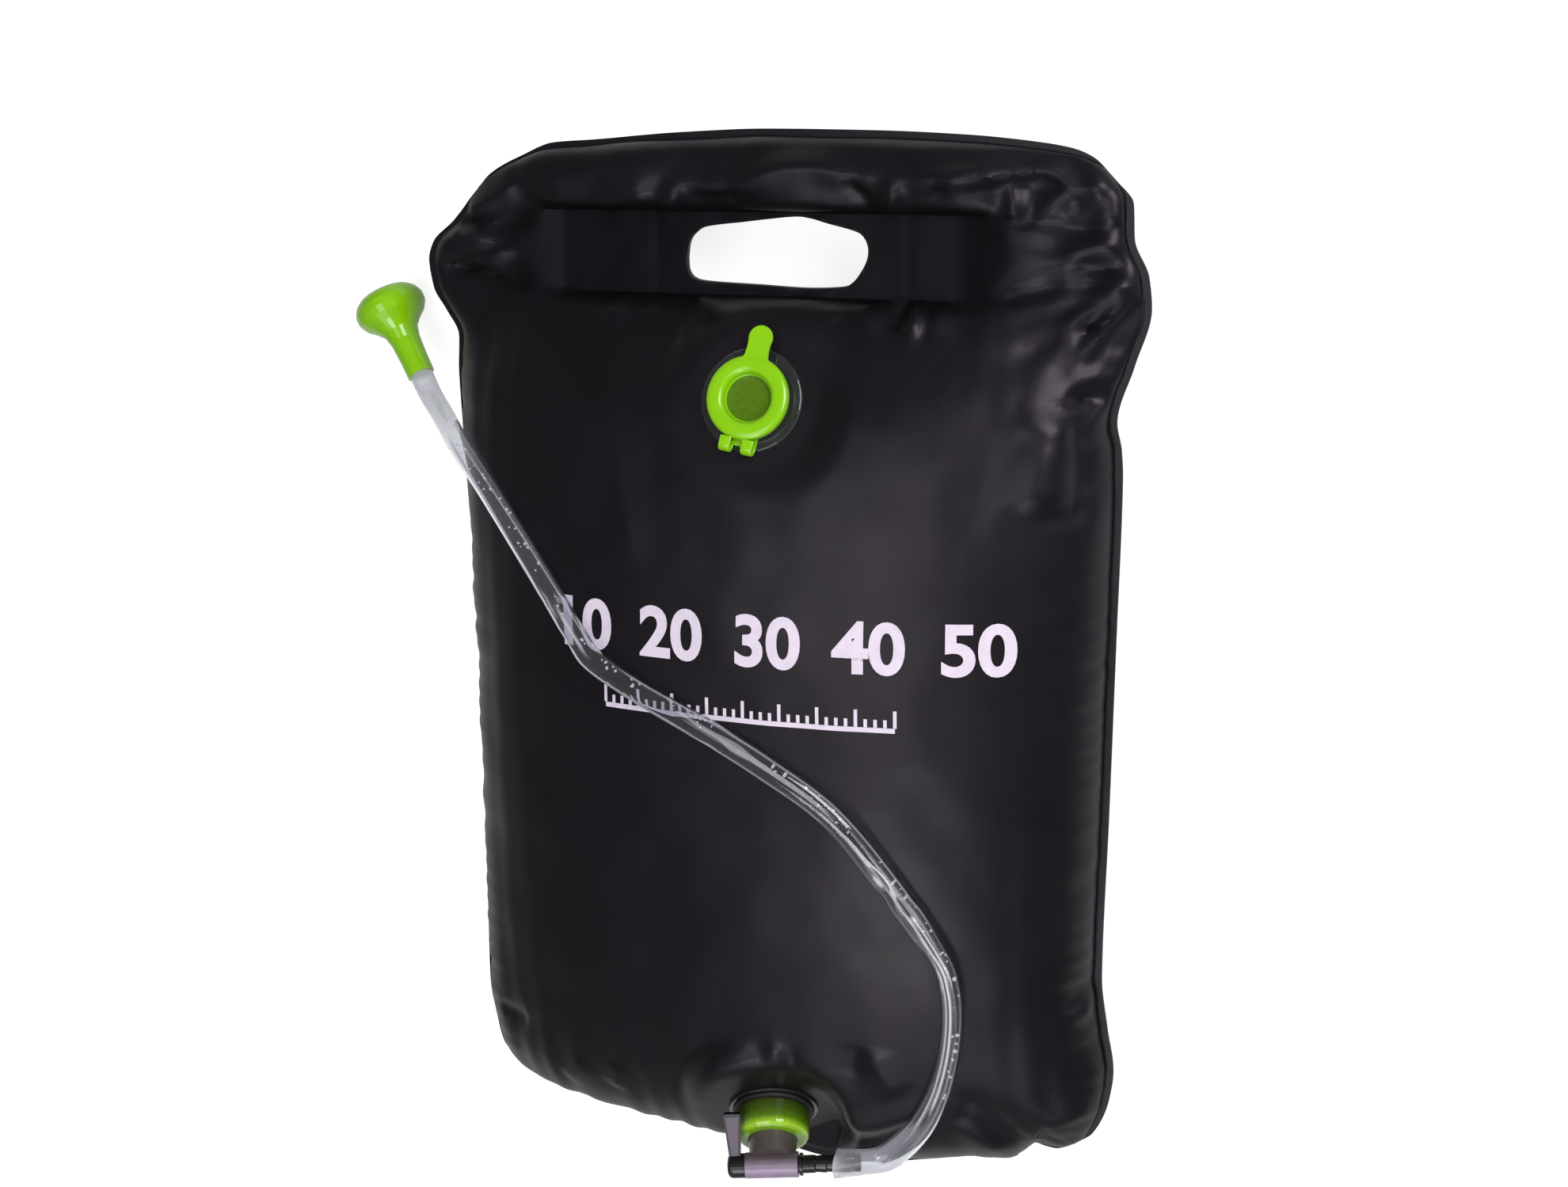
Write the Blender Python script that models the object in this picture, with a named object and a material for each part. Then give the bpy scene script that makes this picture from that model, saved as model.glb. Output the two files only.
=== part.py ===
# Camp shower bag: a welded black bag full of water, lying on its back with its printed face up.
# Metres, +Z up out of the printed face, +Y toward the hand hole, +X across the bag.
# The origin lies on the flat of the back sheet, under the middle of the bag.

import math

import bmesh
import bpy
import numpy as np
from mathutils import Matrix, Vector

for old in list(bpy.data.objects):
    bpy.data.objects.remove(old, do_unlink=True)

# Bag
half_length = 0.2835          # middle of the bag to its top edge
ear_half_width = 0.200        # middle to the puckered ears beside the hand hole
seam_height = 0.052           # weld plane above the floor
front_rise = 0.068            # weld plane up to the crown of the front sheet
back_drop = 0.074             # sag of the back sheet if no floor held it up
sheet_wall = 0.001
sheet_gap = 0.0003            # left between the sheets where they are welded
weld_margin = 0.006
fit_gap = 0.0003              # left between pieces that seat on each other
cut_overrun = 0.020           # how far a cutter runs past what it cuts

# Edge of the bag, as shares of half_length up and of ear_half_width across, bottom to top.
left_side_shares = (
    (-0.924, -0.838), (-0.875, -0.902), (-0.820, -0.920), (-0.740, -0.936), (-0.550, -0.930),
    (0.100, -0.920), (0.450, -0.915), (0.610, -0.920), (0.660, -0.965), (0.700, -0.996),
    (0.755, -1.007), (0.790, -0.990), (0.830, -0.925), (0.882, -0.857),
)
right_side_shares = (
    (-0.924, 0.835), (-0.875, 0.885), (-0.800, 0.930), (-0.740, 0.940), (-0.650, 0.921),
    (-0.550, 0.905), (-0.220, 0.917), (0.100, 0.927), (0.400, 0.935), (0.500, 0.917),
    (0.600, 0.960), (0.700, 1.000), (0.755, 0.992), (0.820, 0.954), (0.880, 0.950),
    (0.924, 0.900),
)
# Top and bottom edges, as shares of ear_half_width across and of half_length up, left to right.
top_edge_shares = (
    (-0.857, 0.882), (-0.805, 0.912), (-0.705, 0.952), (-0.610, 0.973), (-0.500, 0.978),
    (-0.250, 0.994), (0.000, 1.000), (0.275, 0.997), (0.525, 0.988), (0.685, 0.979),
    (0.800, 0.966), (0.850, 0.950), (0.900, 0.924),
)
bottom_edge_shares = (
    (-0.838, -0.924), (-0.740, -0.957), (-0.640, -0.976), (-0.430, -0.993), (-0.230, -1.002),
    (0.000, -1.006), (0.250, -1.000), (0.440, -0.986), (0.620, -0.960), (0.740, -0.943),
    (0.835, -0.924),
)

# Welded island round the hand hole
island_left_share = -0.790    # of ear_half_width
island_right_share = 0.735
island_bottom_margin = 0.0835  # below the top edge
island_top_margin = 0.0410
hand_hole_x = 0.0045
hand_hole_margin = 0.0622     # its middle below the top edge
hand_hole_length = 0.101
hand_hole_width = 0.036
hand_hole_squareness = 2.6    # exponent of the superellipse
hand_hole_points = 32
bottom_zone_margin = 0.0685   # nearer the bottom edge the rows bend to follow it

# How full each stretch of the bag stands, beside the main chamber's 1
sleeve_fullness = 3.4
ear_fullness = 2.0
ear_zone = 0.060              # height below the island over which the ears fill out

# Rows and columns of each sheet's mesh
edge_column_shares = (0.0, 0.16, 0.42, 0.72)
front_columns = (3, 9, 3)     # left of the valves, across them, right of them
front_rows = (9, 8)           # up to the filler's zone, across it
front_bottom_shares = (0.18, 0.36, 0.54, 0.70, 0.84)
front_sleeve_shares = (0.18, 0.44, 0.68)
back_columns = (2, 4, 2)
back_rows = (6, 4)
back_bottom_shares = (0.35, 0.68)
back_sleeve_shares = (0.30, 0.64)
valve_zone = 0.048            # half width of the finer columns under both valves
filler_zone_reach = 0.044     # the finer rows start this far below the filler's middle

# Filler valve
filler_x = 0.0055
filler_margin = 0.1315        # its middle below the bag's top edge
filler_rise_share = 0.62      # of front_rise
filler_tilt = math.radians(19)
filler_lean = math.radians(4)
filler_clock = math.radians(-8)
filler_flange_radius = 0.0268
filler_flange_wall = 0.0012
filler_bore_radius = 0.0136
filler_neck_wall = 0.0022
filler_neck_rise = 0.0068     # above the sheet
filler_collar_radius = 0.0200
filler_collar_wall = 0.0020
spigot_drop = 0.0030          # how far a spigot reaches in past the sheet's outer face
lug_reach = 0.0245
cap_radius = 0.0220
cap_wall = 0.0026
cap_skirt_drop = 0.0020
cap_skirt_wall = 0.0018
cap_round = 0.0009
plug_depth = 0.0090
plug_wall = 0.0014
plug_taper = 0.0005
plug_floor = 0.0012
tab_base_width = 0.0129
tab_tip_width = 0.0142
tab_length = 0.0145           # beyond the rim
tab_wall = 0.0022
strap_width = 0.0060
strap_spacing = 0.0120
strap_wall = 0.0016
strap_reach = 0.0060          # straight stretch beyond the rim
strap_bend_steps = 10

# Outlet and tap
outlet_x = 0.003
outlet_margin = 0.0360        # its middle above the bag's bottom edge
outlet_rise_share = 0.40
outlet_tilt = math.radians(-39)
outlet_lean = math.radians(19)
outlet_clock = math.radians(-8)
outlet_flange_radius = 0.0250
outlet_flange_wall = 0.0012
spout_radius = 0.0165
spout_wall = 0.0028
spout_rise = 0.0130
gasket_radius = 0.0226
gasket_wall = 0.0015
nut_radius = 0.0200
nut_top = 0.0195              # above the sheet
nut_cover = 0.0026
nut_round = 0.0036
body_collar_radius = 0.0160
body_collar_wall = 0.0030
body_neck_radius = 0.0135
body_neck_taper = 0.0010
body_bore_radius = 0.0042
body_shoulder_share = 0.45    # of the barrel's radius, from its axis down to the neck's shoulder
barrel_height = 0.0340        # barrel axis above the sheet
barrel_radius = 0.0070
barrel_length = 0.0290
barrel_bore_radius = 0.0052
hub_radius = 0.0067
hub_length = 0.0095
hub_round = 0.0030
seal_share = 0.72             # of half the barrel's length, where each O-ring sits
seal_wire = 0.0007
seal_squeeze = 0.0001         # running clearance of an O-ring in its groove and bore
spindle_bore_radius = 0.0030
spindle_port_radius = 0.0026
clip_groove_start = 0.0006    # past the barrel's end
clip_groove_width = 0.0022
clip_groove_depth = 0.0010
clip_radius = 0.0062
barb_length = 0.0340          # past the barrel's end
barb_ridges = 4
barb_root = 0.0044
barb_lip_radius = 0.0008
lever_length = 0.0310         # barrel axis to the lever's tip
lever_lean = math.radians(40)  # from +Y toward the sheet
lever_tip_width = 0.0095
lever_root_width = 0.0058
lever_wall = 0.0034
lever_round = 0.0008

# Hose and head
hose_radius = 0.0064
hose_wall = 0.0010
cuff_length = 0.0140
cuff_mouth_flare = 0.0012
hose_step = 0.018             # spacing of the hose's points
curve_samples = 12            # fine points on each stretch of the route
neck_x_share = -1.1175        # mouth of the head's neck, of ear_half_width
neck_y_share = 0.5150         # of half_length
neck_height = 0.0305
head_heading = math.radians(123.5)  # which way the head points, from +X
head_dip = math.radians(13.2)
head_length = 0.0550
head_neck_radius = 0.0078
head_socket_depth = 0.0090
head_wall = 0.0016
head_radius = 0.0206
rose_radius = 0.0150
rose_wall = 0.0016
rose_bulge = 0.0030
rose_holes = (1, 6, 12)
rose_hole_radius = 0.0008
rose_hole_pitch = 0.0046
# Outside of the head: shares of head_length from the neck's mouth, shares of head_radius.
head_outline_shares = (
    (0.200, 0.385), (0.400, 0.415), (0.520, 0.490), (0.610, 0.680), (0.680, 0.880),
    (0.750, 0.985), (0.820, 0.995), (0.885, 0.920), (0.930, 0.800),
)

# Route of the hose over the bag, from the tap to the bag's left edge, as shares of
# ear_half_width across, of half_length up and of front_rise above the weld plane.
hose_route_shares = (
    (0.4180, -0.9242, 0.5176), (0.4670, -0.8861, 0.5676), (0.5005, -0.8339, 0.6441),
    (0.5275, -0.7672, 0.7103), (0.5600, -0.6931, 0.7574), (0.5825, -0.6067, 0.8015),
    (0.5750, -0.5414, 0.8382), (0.5525, -0.4762, 0.8750), (0.4600, -0.3369, 0.9706),
    (0.2850, -0.1605, 1.0882), (0.0975, -0.0741, 1.1250), (-0.0775, -0.0194, 1.1250),
    (-0.2375, 0.0159, 1.0956), (-0.3825, 0.0476, 1.0368), (-0.4300, 0.0847, 1.0074),
    (-0.5075, 0.1517, 0.9338), (-0.6125, 0.2469, 0.8309), (-0.7350, 0.3386, 0.6471),
    (-0.8175, 0.4056, 0.5074), (-0.8725, 0.4392, 0.3750), (-0.9850, 0.4691, 0.0441),
)

# Fineness
turned_sides = 32
small_sides = 20
arc_steps = 3
facet_turn = math.radians(4)  # keeps crossing cylinders from sharing a facet line


def surface(name, colour, roughness, alpha=1.0, transmission=0.0):
    made = bpy.data.materials.new(name)
    made.use_nodes = True
    shader = made.node_tree.nodes["Principled BSDF"]
    shader.inputs["Base Color"].default_value = (*colour, 1.0)
    shader.inputs["Roughness"].default_value = roughness
    shader.inputs["Metallic"].default_value = 0.0
    shader.inputs["Alpha"].default_value = alpha
    shader.inputs["Transmission Weight"].default_value = transmission
    made.diffuse_color = (*colour, alpha)
    return made


black_sheet = surface("black PVC sheet", (0.012, 0.011, 0.013), 0.38)
green_plastic = surface("lime green plastic", (0.270, 0.690, 0.006), 0.25)
clear_disc = surface("clear PVC disc", (0.55, 0.60, 0.58), 0.15, 0.35, 0.8)
milky_plastic = surface("milky clear plastic", (0.62, 0.58, 0.66), 0.25, 0.6, 0.6)
black_plastic = surface("black plastic", (0.015, 0.013, 0.016), 0.30)
black_rubber = surface("black rubber", (0.010, 0.010, 0.012), 0.60)
clear_tube = surface("clear soft PVC tube", (0.80, 0.82, 0.84), 0.12, 0.35, 0.9)


def frame_at(name, matrix, parent=None):
    empty = bpy.data.objects.new(name, None)
    bpy.context.scene.collection.objects.link(empty)
    empty.parent = parent
    empty.location = matrix.to_translation()
    empty.rotation_euler = matrix.to_euler()
    return empty


def placed(name, mesh_or_curve, look, parent=None, location=(0, 0, 0), rotation=(0, 0, 0)):
    made = bpy.data.objects.new(name, mesh_or_curve)
    bpy.context.scene.collection.objects.link(made)
    if look is not None:
        made.data.materials.append(look)
    made.parent = parent
    made.location = location
    made.rotation_euler = rotation
    return made


def finished_mesh(name, built, crease=math.radians(35)):
    bmesh.ops.recalc_face_normals(built, faces=built.faces)
    mesh = bpy.data.meshes.new(name)
    built.to_mesh(mesh)
    built.free()
    mesh.shade_smooth()
    mesh.set_sharp_from_angle(angle=crease)
    return mesh


def turned_mesh(name, profile, sides=turned_sides):
    # Revolves a closed profile of (radius, height) points about Z.
    built = bmesh.new()
    rings = []
    for radius, height in profile:
        if radius == 0:
            rings.append([built.verts.new((0, 0, height))])
            continue
        angles = [2 * math.pi * i / sides for i in range(sides)]
        rings.append([
            built.verts.new((radius * math.cos(a), radius * math.sin(a), height)) for a in angles
        ])
    for ring, following in zip(rings, rings[1:] + rings[:1]):
        if len(ring) == 1 and len(following) == 1:
            continue
        for i in range(sides):
            j = (i + 1) % sides
            corners = [ring[i % len(ring)], ring[j % len(ring)],
                       following[j % len(following)], following[i % len(following)]]
            built.faces.new(list(dict.fromkeys(corners)))
    return finished_mesh(name, built)


def prism_mesh(name, outline, low, high):
    # Extrudes a closed outline in XY from one height to another.
    built = bmesh.new()
    floor = [built.verts.new((x, y, low)) for x, y in outline]
    face = built.faces.new(floor)
    raised = bmesh.ops.extrude_face_region(built, geom=[face])
    verts = [item for item in raised["geom"] if isinstance(item, bmesh.types.BMVert)]
    bmesh.ops.translate(built, verts=verts, vec=(0, 0, high - low))
    return finished_mesh(name, built)


def rounded(profile, corners, steps=arc_steps):
    # Replaces the profile's points named in corners, {index: radius}, by arcs.
    points = [Vector(point) for point in profile]
    result = []
    for i, point in enumerate(points):
        if i not in corners:
            result.append(tuple(point))
            continue
        before = (points[i - 1] - point).normalized()
        after = (points[(i + 1) % len(points)] - point).normalized()
        half = before.angle(after) / 2
        reach = corners[i] / math.tan(half)
        middle = point + (before + after).normalized() * (corners[i] / math.sin(half))
        first = (point + before * reach - middle).normalized()
        last = (point + after * reach - middle).normalized()
        for k in range(steps + 1):
            result.append(tuple(middle + first.slerp(last, k / steps) * corners[i]))
    return result


def cutter(name, mesh, parent=None, location=(0, 0, 0), rotation=(0, 0, 0)):
    made = placed(name, mesh, None, parent, location, rotation)
    made.hide_render = True
    made.display_type = "WIRE"
    return made


def combine(target, tool, operation):
    step = target.modifiers.new(f"{operation.lower()} {tool.name}", "BOOLEAN")
    step.operation = operation
    step.object = tool
    step.solver = "EXACT"


# Shape of the bag

def share_curve(stations, step, scale):
    # Monotone cubic through the stations, each (place share, value share).
    places = np.array([station[0] for station in stations]) * step
    values = np.array([station[1] for station in stations]) * scale
    runs = np.diff(places)
    rates = np.diff(values) / runs
    slopes = np.zeros(len(places))
    slopes[0] = rates[0]
    slopes[-1] = rates[-1]
    for i in range(1, len(places) - 1):
        if rates[i - 1] * rates[i] > 0:
            before = 2 * runs[i] + runs[i - 1]
            after = runs[i] + 2 * runs[i - 1]
            slopes[i] = (before + after) / (before / rates[i - 1] + after / rates[i])

    def value_at(place):
        i = int(np.clip(np.searchsorted(places, place) - 1, 0, len(runs) - 1))
        t = min(max((place - places[i]) / runs[i], 0), 1)
        return (values[i] * (1 + 2 * t) * (1 - t) ** 2 + values[i + 1] * t * t * (3 - 2 * t)
                + runs[i] * (slopes[i] * t * (1 - t) ** 2 - slopes[i + 1] * t * t * (1 - t)))

    return value_at


island_left = ear_half_width * island_left_share
island_right = ear_half_width * island_right_share
island_bottom = half_length - island_bottom_margin
island_top = half_length - island_top_margin
bottom_zone = bottom_zone_margin - half_length
filler_y = half_length - filler_margin
outlet_y = outlet_margin - half_length
left_side = share_curve(left_side_shares, half_length, ear_half_width)
right_side = share_curve(right_side_shares, half_length, ear_half_width)
top_edge = share_curve(top_edge_shares, ear_half_width, half_length)
bottom_edge = share_curve(bottom_edge_shares, ear_half_width, half_length)


def row_across(left, right, inner):
    # Columns of a straight row: edge, weld line, graded columns, the inner columns, and back.
    left_weld = left + weld_margin
    right_weld = right - weld_margin
    from_left = [left_weld + (inner[0] - left_weld) * share for share in edge_column_shares]
    from_right = [right_weld + (inner[-1] - right_weld) * share for share in edge_column_shares]
    return np.array([left, *from_left, *inner, *from_right[::-1], right])


def end_rows(inner, start, edge, shares, corner_share):
    # Rows between the last straight row and the top or bottom edge.
    base = row_across(left_side(start), right_side(start), inner)

    def columns_at(share):
        left = left_side(start + (corner_share[0] * half_length - start) * share)
        right = right_side(start + (corner_share[1] * half_length - start) * share)
        scaled = np.where(base < 0, base * left / base[0], base * right / base[-1])
        scaled[1] = scaled[0] + weld_margin
        scaled[-2] = scaled[-1] - weld_margin
        return scaled

    ends = np.array([edge(x) for x in columns_at(1)])
    weld_share = 1 - weld_margin / abs(edge(0) - start)
    rows = []
    for share in (*[weld_share * s for s in shares], weld_share, 1):
        rows.append(np.stack([columns_at(share), start + (ends - start) * share], -1))
    return rows


def sheet_grid(columns, rows, bottom_shares, sleeve_shares):
    inner = np.concatenate([
        np.linspace(island_left, -valve_zone, columns[0] + 1)[:-1],
        np.linspace(-valve_zone, valve_zone, columns[1] + 1)[:-1],
        np.linspace(valve_zone, island_right, columns[2] + 1),
    ])
    heights = np.concatenate([
        np.linspace(bottom_zone, filler_y - filler_zone_reach, rows[0] + 1)[:-1],
        np.linspace(filler_y - filler_zone_reach, island_bottom, rows[1] + 1)[:-1],
        np.linspace(island_bottom, island_top, 3),
    ])
    low_corners = (left_side_shares[0][0], right_side_shares[0][0])
    high_corners = (left_side_shares[-1][0], right_side_shares[-1][0])
    low = end_rows(inner, bottom_zone, bottom_edge, bottom_shares, low_corners)
    high = end_rows(inner, island_top, top_edge, sleeve_shares, high_corners)
    middle = []
    for y in heights:
        xs = row_across(left_side(y), right_side(y), inner)
        middle.append(np.stack([xs, np.full(len(xs), y)], -1))
    return np.array(low[::-1] + middle + high)


def held_points(grid):
    # True where the two sheets are welded together.
    held = np.zeros(grid.shape[:2], bool)
    held[:2] = held[-2:] = True
    held[:, :2] = held[:, -2:] = True
    x = grid[..., 0]
    y = grid[..., 1]
    hair = fit_gap / 10
    on_island = (x > island_left - hair) & (x < island_right + hair)
    on_island &= (y > island_bottom - hair) & (y < island_top + hair)
    return held | on_island


def fullness(x, y):
    if y > island_top:
        return sleeve_fullness
    beside = min(max((y - island_bottom) / ear_zone + 1, 0), 1)
    return 1 + (ear_fullness - 1) * beside * beside * (3 - 2 * beside)


def grid_triangles(shape):
    count = shape[1]
    for row in range(shape[0] - 1):
        for column in range(count - 1):
            a = row * count + column
            yield (a, a + 1, a + count + 1)
            yield (a, a + count + 1, a + count)


def lift_shares(grid):
    # Solves the membrane equation on the sheet's own triangles and takes the root,
    # which stands up round and steep from the welds as a filled bag does.
    points = grid.reshape(-1, 2)
    total = len(points)
    stiffness = np.zeros((total, total))
    load = np.zeros(total)
    for corners in grid_triangles(grid.shape):
        p = points[list(corners)]
        edges = np.array([p[2] - p[1], p[0] - p[2], p[1] - p[0]])
        area = abs(edges[0][0] * edges[1][1] - edges[0][1] * edges[1][0]) / 2
        stiffness[np.ix_(corners, corners)] += edges @ edges.T / (4 * area)
        load[list(corners)] += area * fullness(*p.mean(0)) / 3
    free = ~held_points(grid).reshape(-1)
    lift = np.zeros(total)
    lift[free] = np.linalg.solve(stiffness[np.ix_(free, free)], load[free])
    main = points[:, 1] < island_bottom
    return np.sqrt(np.clip(lift / lift[main].max(), 0, None)).reshape(grid.shape[:2])


class Seat:
    # The flat that a valve's flange lies on: its middle on the sheet's inner face, its normal
    # and the radii between which the flat runs out into the bag's own curve.
    def __init__(self, x, y, rise_share, tilt, lean, clock, radius):
        self.normal = Vector((math.tan(lean), math.tan(tilt), 1)).normalized()
        self.middle = Vector((x, y, seam_height + sheet_gap / 2 + front_rise * rise_share))
        self.flat_radius = radius * 1.25
        self.blend_radius = radius * 2.15
        across = (Vector((1, 0, 0)) - self.normal * self.normal.x).normalized()
        up = self.normal.cross(across)
        turn = Matrix((across, up, self.normal)).transposed() @ Matrix.Rotation(clock, 3, "Z")
        self.matrix = Matrix.Translation(self.middle + self.normal * sheet_wall) @ turn.to_4x4()

    def height(self, x, y):
        slope = self.normal.xy / self.normal.z
        return self.middle.z - slope.x * (x - self.middle.x) - slope.y * (y - self.middle.y)

    def weight(self, x, y):
        distance = math.hypot(x - self.middle.x, y - self.middle.y)
        share = (self.blend_radius - distance) / (self.blend_radius - self.flat_radius)
        share = min(max(share, 0), 1)
        return share * share * (3 - 2 * share)


filler_seat = Seat(filler_x, filler_y, filler_rise_share, filler_tilt, filler_lean,
                   filler_clock, filler_flange_radius)
outlet_seat = Seat(outlet_x, outlet_y, outlet_rise_share, outlet_tilt, outlet_lean,
                   outlet_clock, outlet_flange_radius)


def front_height(x, y, lift):
    if lift == 0:
        return seam_height + sheet_gap / 2
    height = seam_height + sheet_gap / 2 + front_rise * lift
    for seat in (filler_seat, outlet_seat):
        height += (seat.height(x, y) - height) * seat.weight(x, y)
    return height


def back_height(x, y, lift):
    return max(seam_height - sheet_gap / 2 - back_drop * lift, sheet_wall)


def sheet(name, grid, height_at, outward):
    lifts = lift_shares(grid)
    built = bmesh.new()
    verts = [
        [built.verts.new((x, y, height_at(x, y, lift))) for (x, y), lift in zip(row, row_lifts)]
        for row, row_lifts in zip(grid, lifts)
    ]
    for i in range(len(verts) - 1):
        for j in range(len(verts[i]) - 1):
            corners = (verts[i][j], verts[i][j + 1], verts[i + 1][j + 1], verts[i + 1][j])
            built.faces.new(corners if outward > 0 else corners[::-1])
    mesh = bpy.data.meshes.new(name)
    built.to_mesh(mesh)
    built.free()
    mesh.shade_smooth()
    made = placed(name, mesh, black_sheet)
    wall = made.modifiers.new("sheet thickness", "SOLIDIFY")
    wall.thickness = sheet_wall
    wall.offset = 1
    return made


def hand_hole_cutter():
    outline = []
    for i in range(hand_hole_points):
        angle = 2 * math.pi * i / hand_hole_points
        power = 2 / hand_hole_squareness
        x = math.copysign(abs(math.cos(angle)) ** power, math.cos(angle))
        y = math.copysign(abs(math.sin(angle)) ** power, math.sin(angle))
        outline.append((hand_hole_x + x * hand_hole_length / 2,
                        half_length - hand_hole_margin + y * hand_hole_width / 2))
    mesh = prism_mesh("hand hole", outline, seam_height - cut_overrun, seam_height + cut_overrun)
    return cutter("hand_hole_cutter", mesh)


def round_cutter(name, radius, low, high, parent=None, location=(0, 0, 0), rotation=(0, 0, 0),
                 sides=turned_sides):
    mesh = turned_mesh(name, ((0, low), (radius, low), (radius, high), (0, high)), sides)
    return cutter(name, mesh, parent, location, rotation)


def make_bag():
    front = sheet("front_sheet",
                  sheet_grid(front_columns, front_rows, front_bottom_shares, front_sleeve_shares),
                  front_height, 1)
    back = sheet("back_sheet",
                 sheet_grid(back_columns, back_rows, back_bottom_shares, back_sleeve_shares),
                 back_height, -1)
    hole = hand_hole_cutter()
    combine(front, hole, "DIFFERENCE")
    combine(back, hole, "DIFFERENCE")
    filler_hole = round_cutter("filler_hole_cutter", filler_neck_radius + fit_gap, -cut_overrun,
                               cut_overrun, filler_frame)
    combine(front, filler_hole, "DIFFERENCE")
    outlet_hole = round_cutter("outlet_hole_cutter", spout_radius + fit_gap, -cut_overrun,
                               cut_overrun, outlet_frame)
    combine(front, outlet_hole, "DIFFERENCE")


# Filler valve, in its seat's frame: Z out of the sheet, the pull tab along +Y

filler_neck_radius = filler_bore_radius + filler_neck_wall
filler_frame = frame_at("filler_frame", filler_seat.matrix)
outlet_frame = frame_at("outlet_frame", outlet_seat.matrix)
filler_collar_low = fit_gap + filler_flange_wall + fit_gap
filler_collar_high = filler_collar_low + filler_collar_wall
cap_low = filler_neck_rise + fit_gap
cap_high = cap_low + cap_wall
strap_high = cap_low + cap_wall / 2
strap_low = (filler_collar_low + filler_collar_high) / 2
strap_bend_radius = (strap_high - strap_low) / 2
hinge_y = -(cap_radius + strap_reach)
hinge_z = (strap_high + strap_low) / 2


def flange_ring(name, inner, outer, low, wall, look, frame):
    profile = ((inner, low), (outer, low), (outer, low + wall), (inner, low + wall))
    profile = rounded(profile, {2: wall * 0.6}, 2)
    return placed(name, turned_mesh(name, profile), look, frame)


def make_filler_neck():
    profile = (
        (filler_bore_radius, -spigot_drop), (filler_neck_radius, -spigot_drop),
        (filler_neck_radius, filler_collar_low), (filler_collar_radius, filler_collar_low),
        (filler_collar_radius, filler_collar_high), (filler_neck_radius, filler_collar_high),
        (filler_neck_radius, filler_neck_rise), (filler_bore_radius, filler_neck_rise),
    )
    profile = rounded(profile, {6: filler_neck_wall * 0.3}, 2)
    neck = placed("filler_neck", turned_mesh("filler_neck", profile), green_plastic, filler_frame)
    half = (strap_spacing + strap_width) / 2
    root = -filler_neck_radius - filler_neck_wall / 2
    outline = ((-half, -lug_reach), (half, -lug_reach), (half, root), (-half, root))
    lug = cutter("filler_lug", prism_mesh("filler_lug", outline, filler_collar_low,
                                          filler_collar_high), filler_frame)
    combine(neck, lug, "UNION")
    return neck


def make_filler_cap():
    plug_radius = filler_bore_radius - fit_gap
    well_radius = plug_radius - plug_wall
    floor = cap_high - plug_depth
    profile = (
        (0, floor), (plug_radius - plug_taper, floor), (plug_radius, cap_low),
        (cap_radius - cap_skirt_wall, cap_low), (cap_radius - cap_skirt_wall, cap_low - cap_skirt_drop),
        (cap_radius, cap_low - cap_skirt_drop), (cap_radius, cap_high), (well_radius, cap_high),
        (well_radius - plug_taper, floor + plug_floor), (0, floor + plug_floor),
    )
    profile = rounded(profile, {6: cap_round, 7: cap_round}, arc_steps)
    pivot = frame_at("cap_pivot", Matrix.Translation((0, hinge_y, hinge_z)), filler_frame)
    back = (0, -hinge_y, -hinge_z)
    cap = placed("filler_cap", turned_mesh("filler_cap", profile), green_plastic, pivot, back)
    base = tab_base_width / 2
    tip = tab_tip_width / 2
    start = cap_radius - cap_skirt_wall
    end = cap_radius + tab_length
    outline = rounded(((base, start), (tip, end), (-tip, end), (-base, start)),
                      {1: tip * 0.9, 2: tip * 0.9}, 5)
    low = cap_high - cap_round / 2 - tab_wall
    tab = cutter("cap_tab", prism_mesh("cap_tab", outline, low, low + tab_wall), pivot, back)
    combine(cap, tab, "UNION")
    return cap


def strap_outline():
    # Seen from the side, (y, z): out from the rim, round the bend and back to the lug.
    start = -(cap_radius + fit_gap)
    finish = -(lug_reach + fit_gap)
    middle = [(start, strap_high, 0)]
    for i in range(strap_bend_steps + 1):
        angle = math.pi * i / strap_bend_steps
        middle.append((hinge_y - strap_bend_radius * math.sin(angle),
                       hinge_z + strap_bend_radius * math.cos(angle), angle))
    middle.append((finish, strap_low, math.pi))
    half = strap_wall / 2
    outer = [(y - half * math.sin(a), z + half * math.cos(a)) for y, z, a in middle]
    inner = [(y + half * math.sin(a), z - half * math.cos(a)) for y, z, a in middle]
    return outer + inner[::-1]


def make_cap_strap(name, side):
    middle = side * strap_spacing / 2
    built = bmesh.new()
    near = [built.verts.new((middle - strap_width / 2, y, z)) for y, z in strap_outline()]
    face = built.faces.new(near)
    raised = bmesh.ops.extrude_face_region(built, geom=[face])
    verts = [item for item in raised["geom"] if isinstance(item, bmesh.types.BMVert)]
    bmesh.ops.translate(built, verts=verts, vec=(strap_width, 0, 0))
    return placed(name, finished_mesh(name, built), green_plastic, filler_frame)


def make_filler():
    flange_ring("filler_flange", filler_neck_radius + fit_gap, filler_flange_radius, fit_gap,
                filler_flange_wall, clear_disc, filler_frame)
    make_filler_neck()
    make_filler_cap()
    make_cap_strap("cap_strap_left", -1)
    make_cap_strap("cap_strap_right", 1)


# Tap, in the outlet seat's frame: Z out of the sheet, the barrel along X, the lever toward +Y

gasket_low = fit_gap + outlet_flange_wall + fit_gap
nut_low = gasket_low + gasket_wall + fit_gap
body_collar_low = spout_rise + fit_gap
barrel_half = barrel_length / 2
along_barrel = (0, math.pi / 2, 0)


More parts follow.
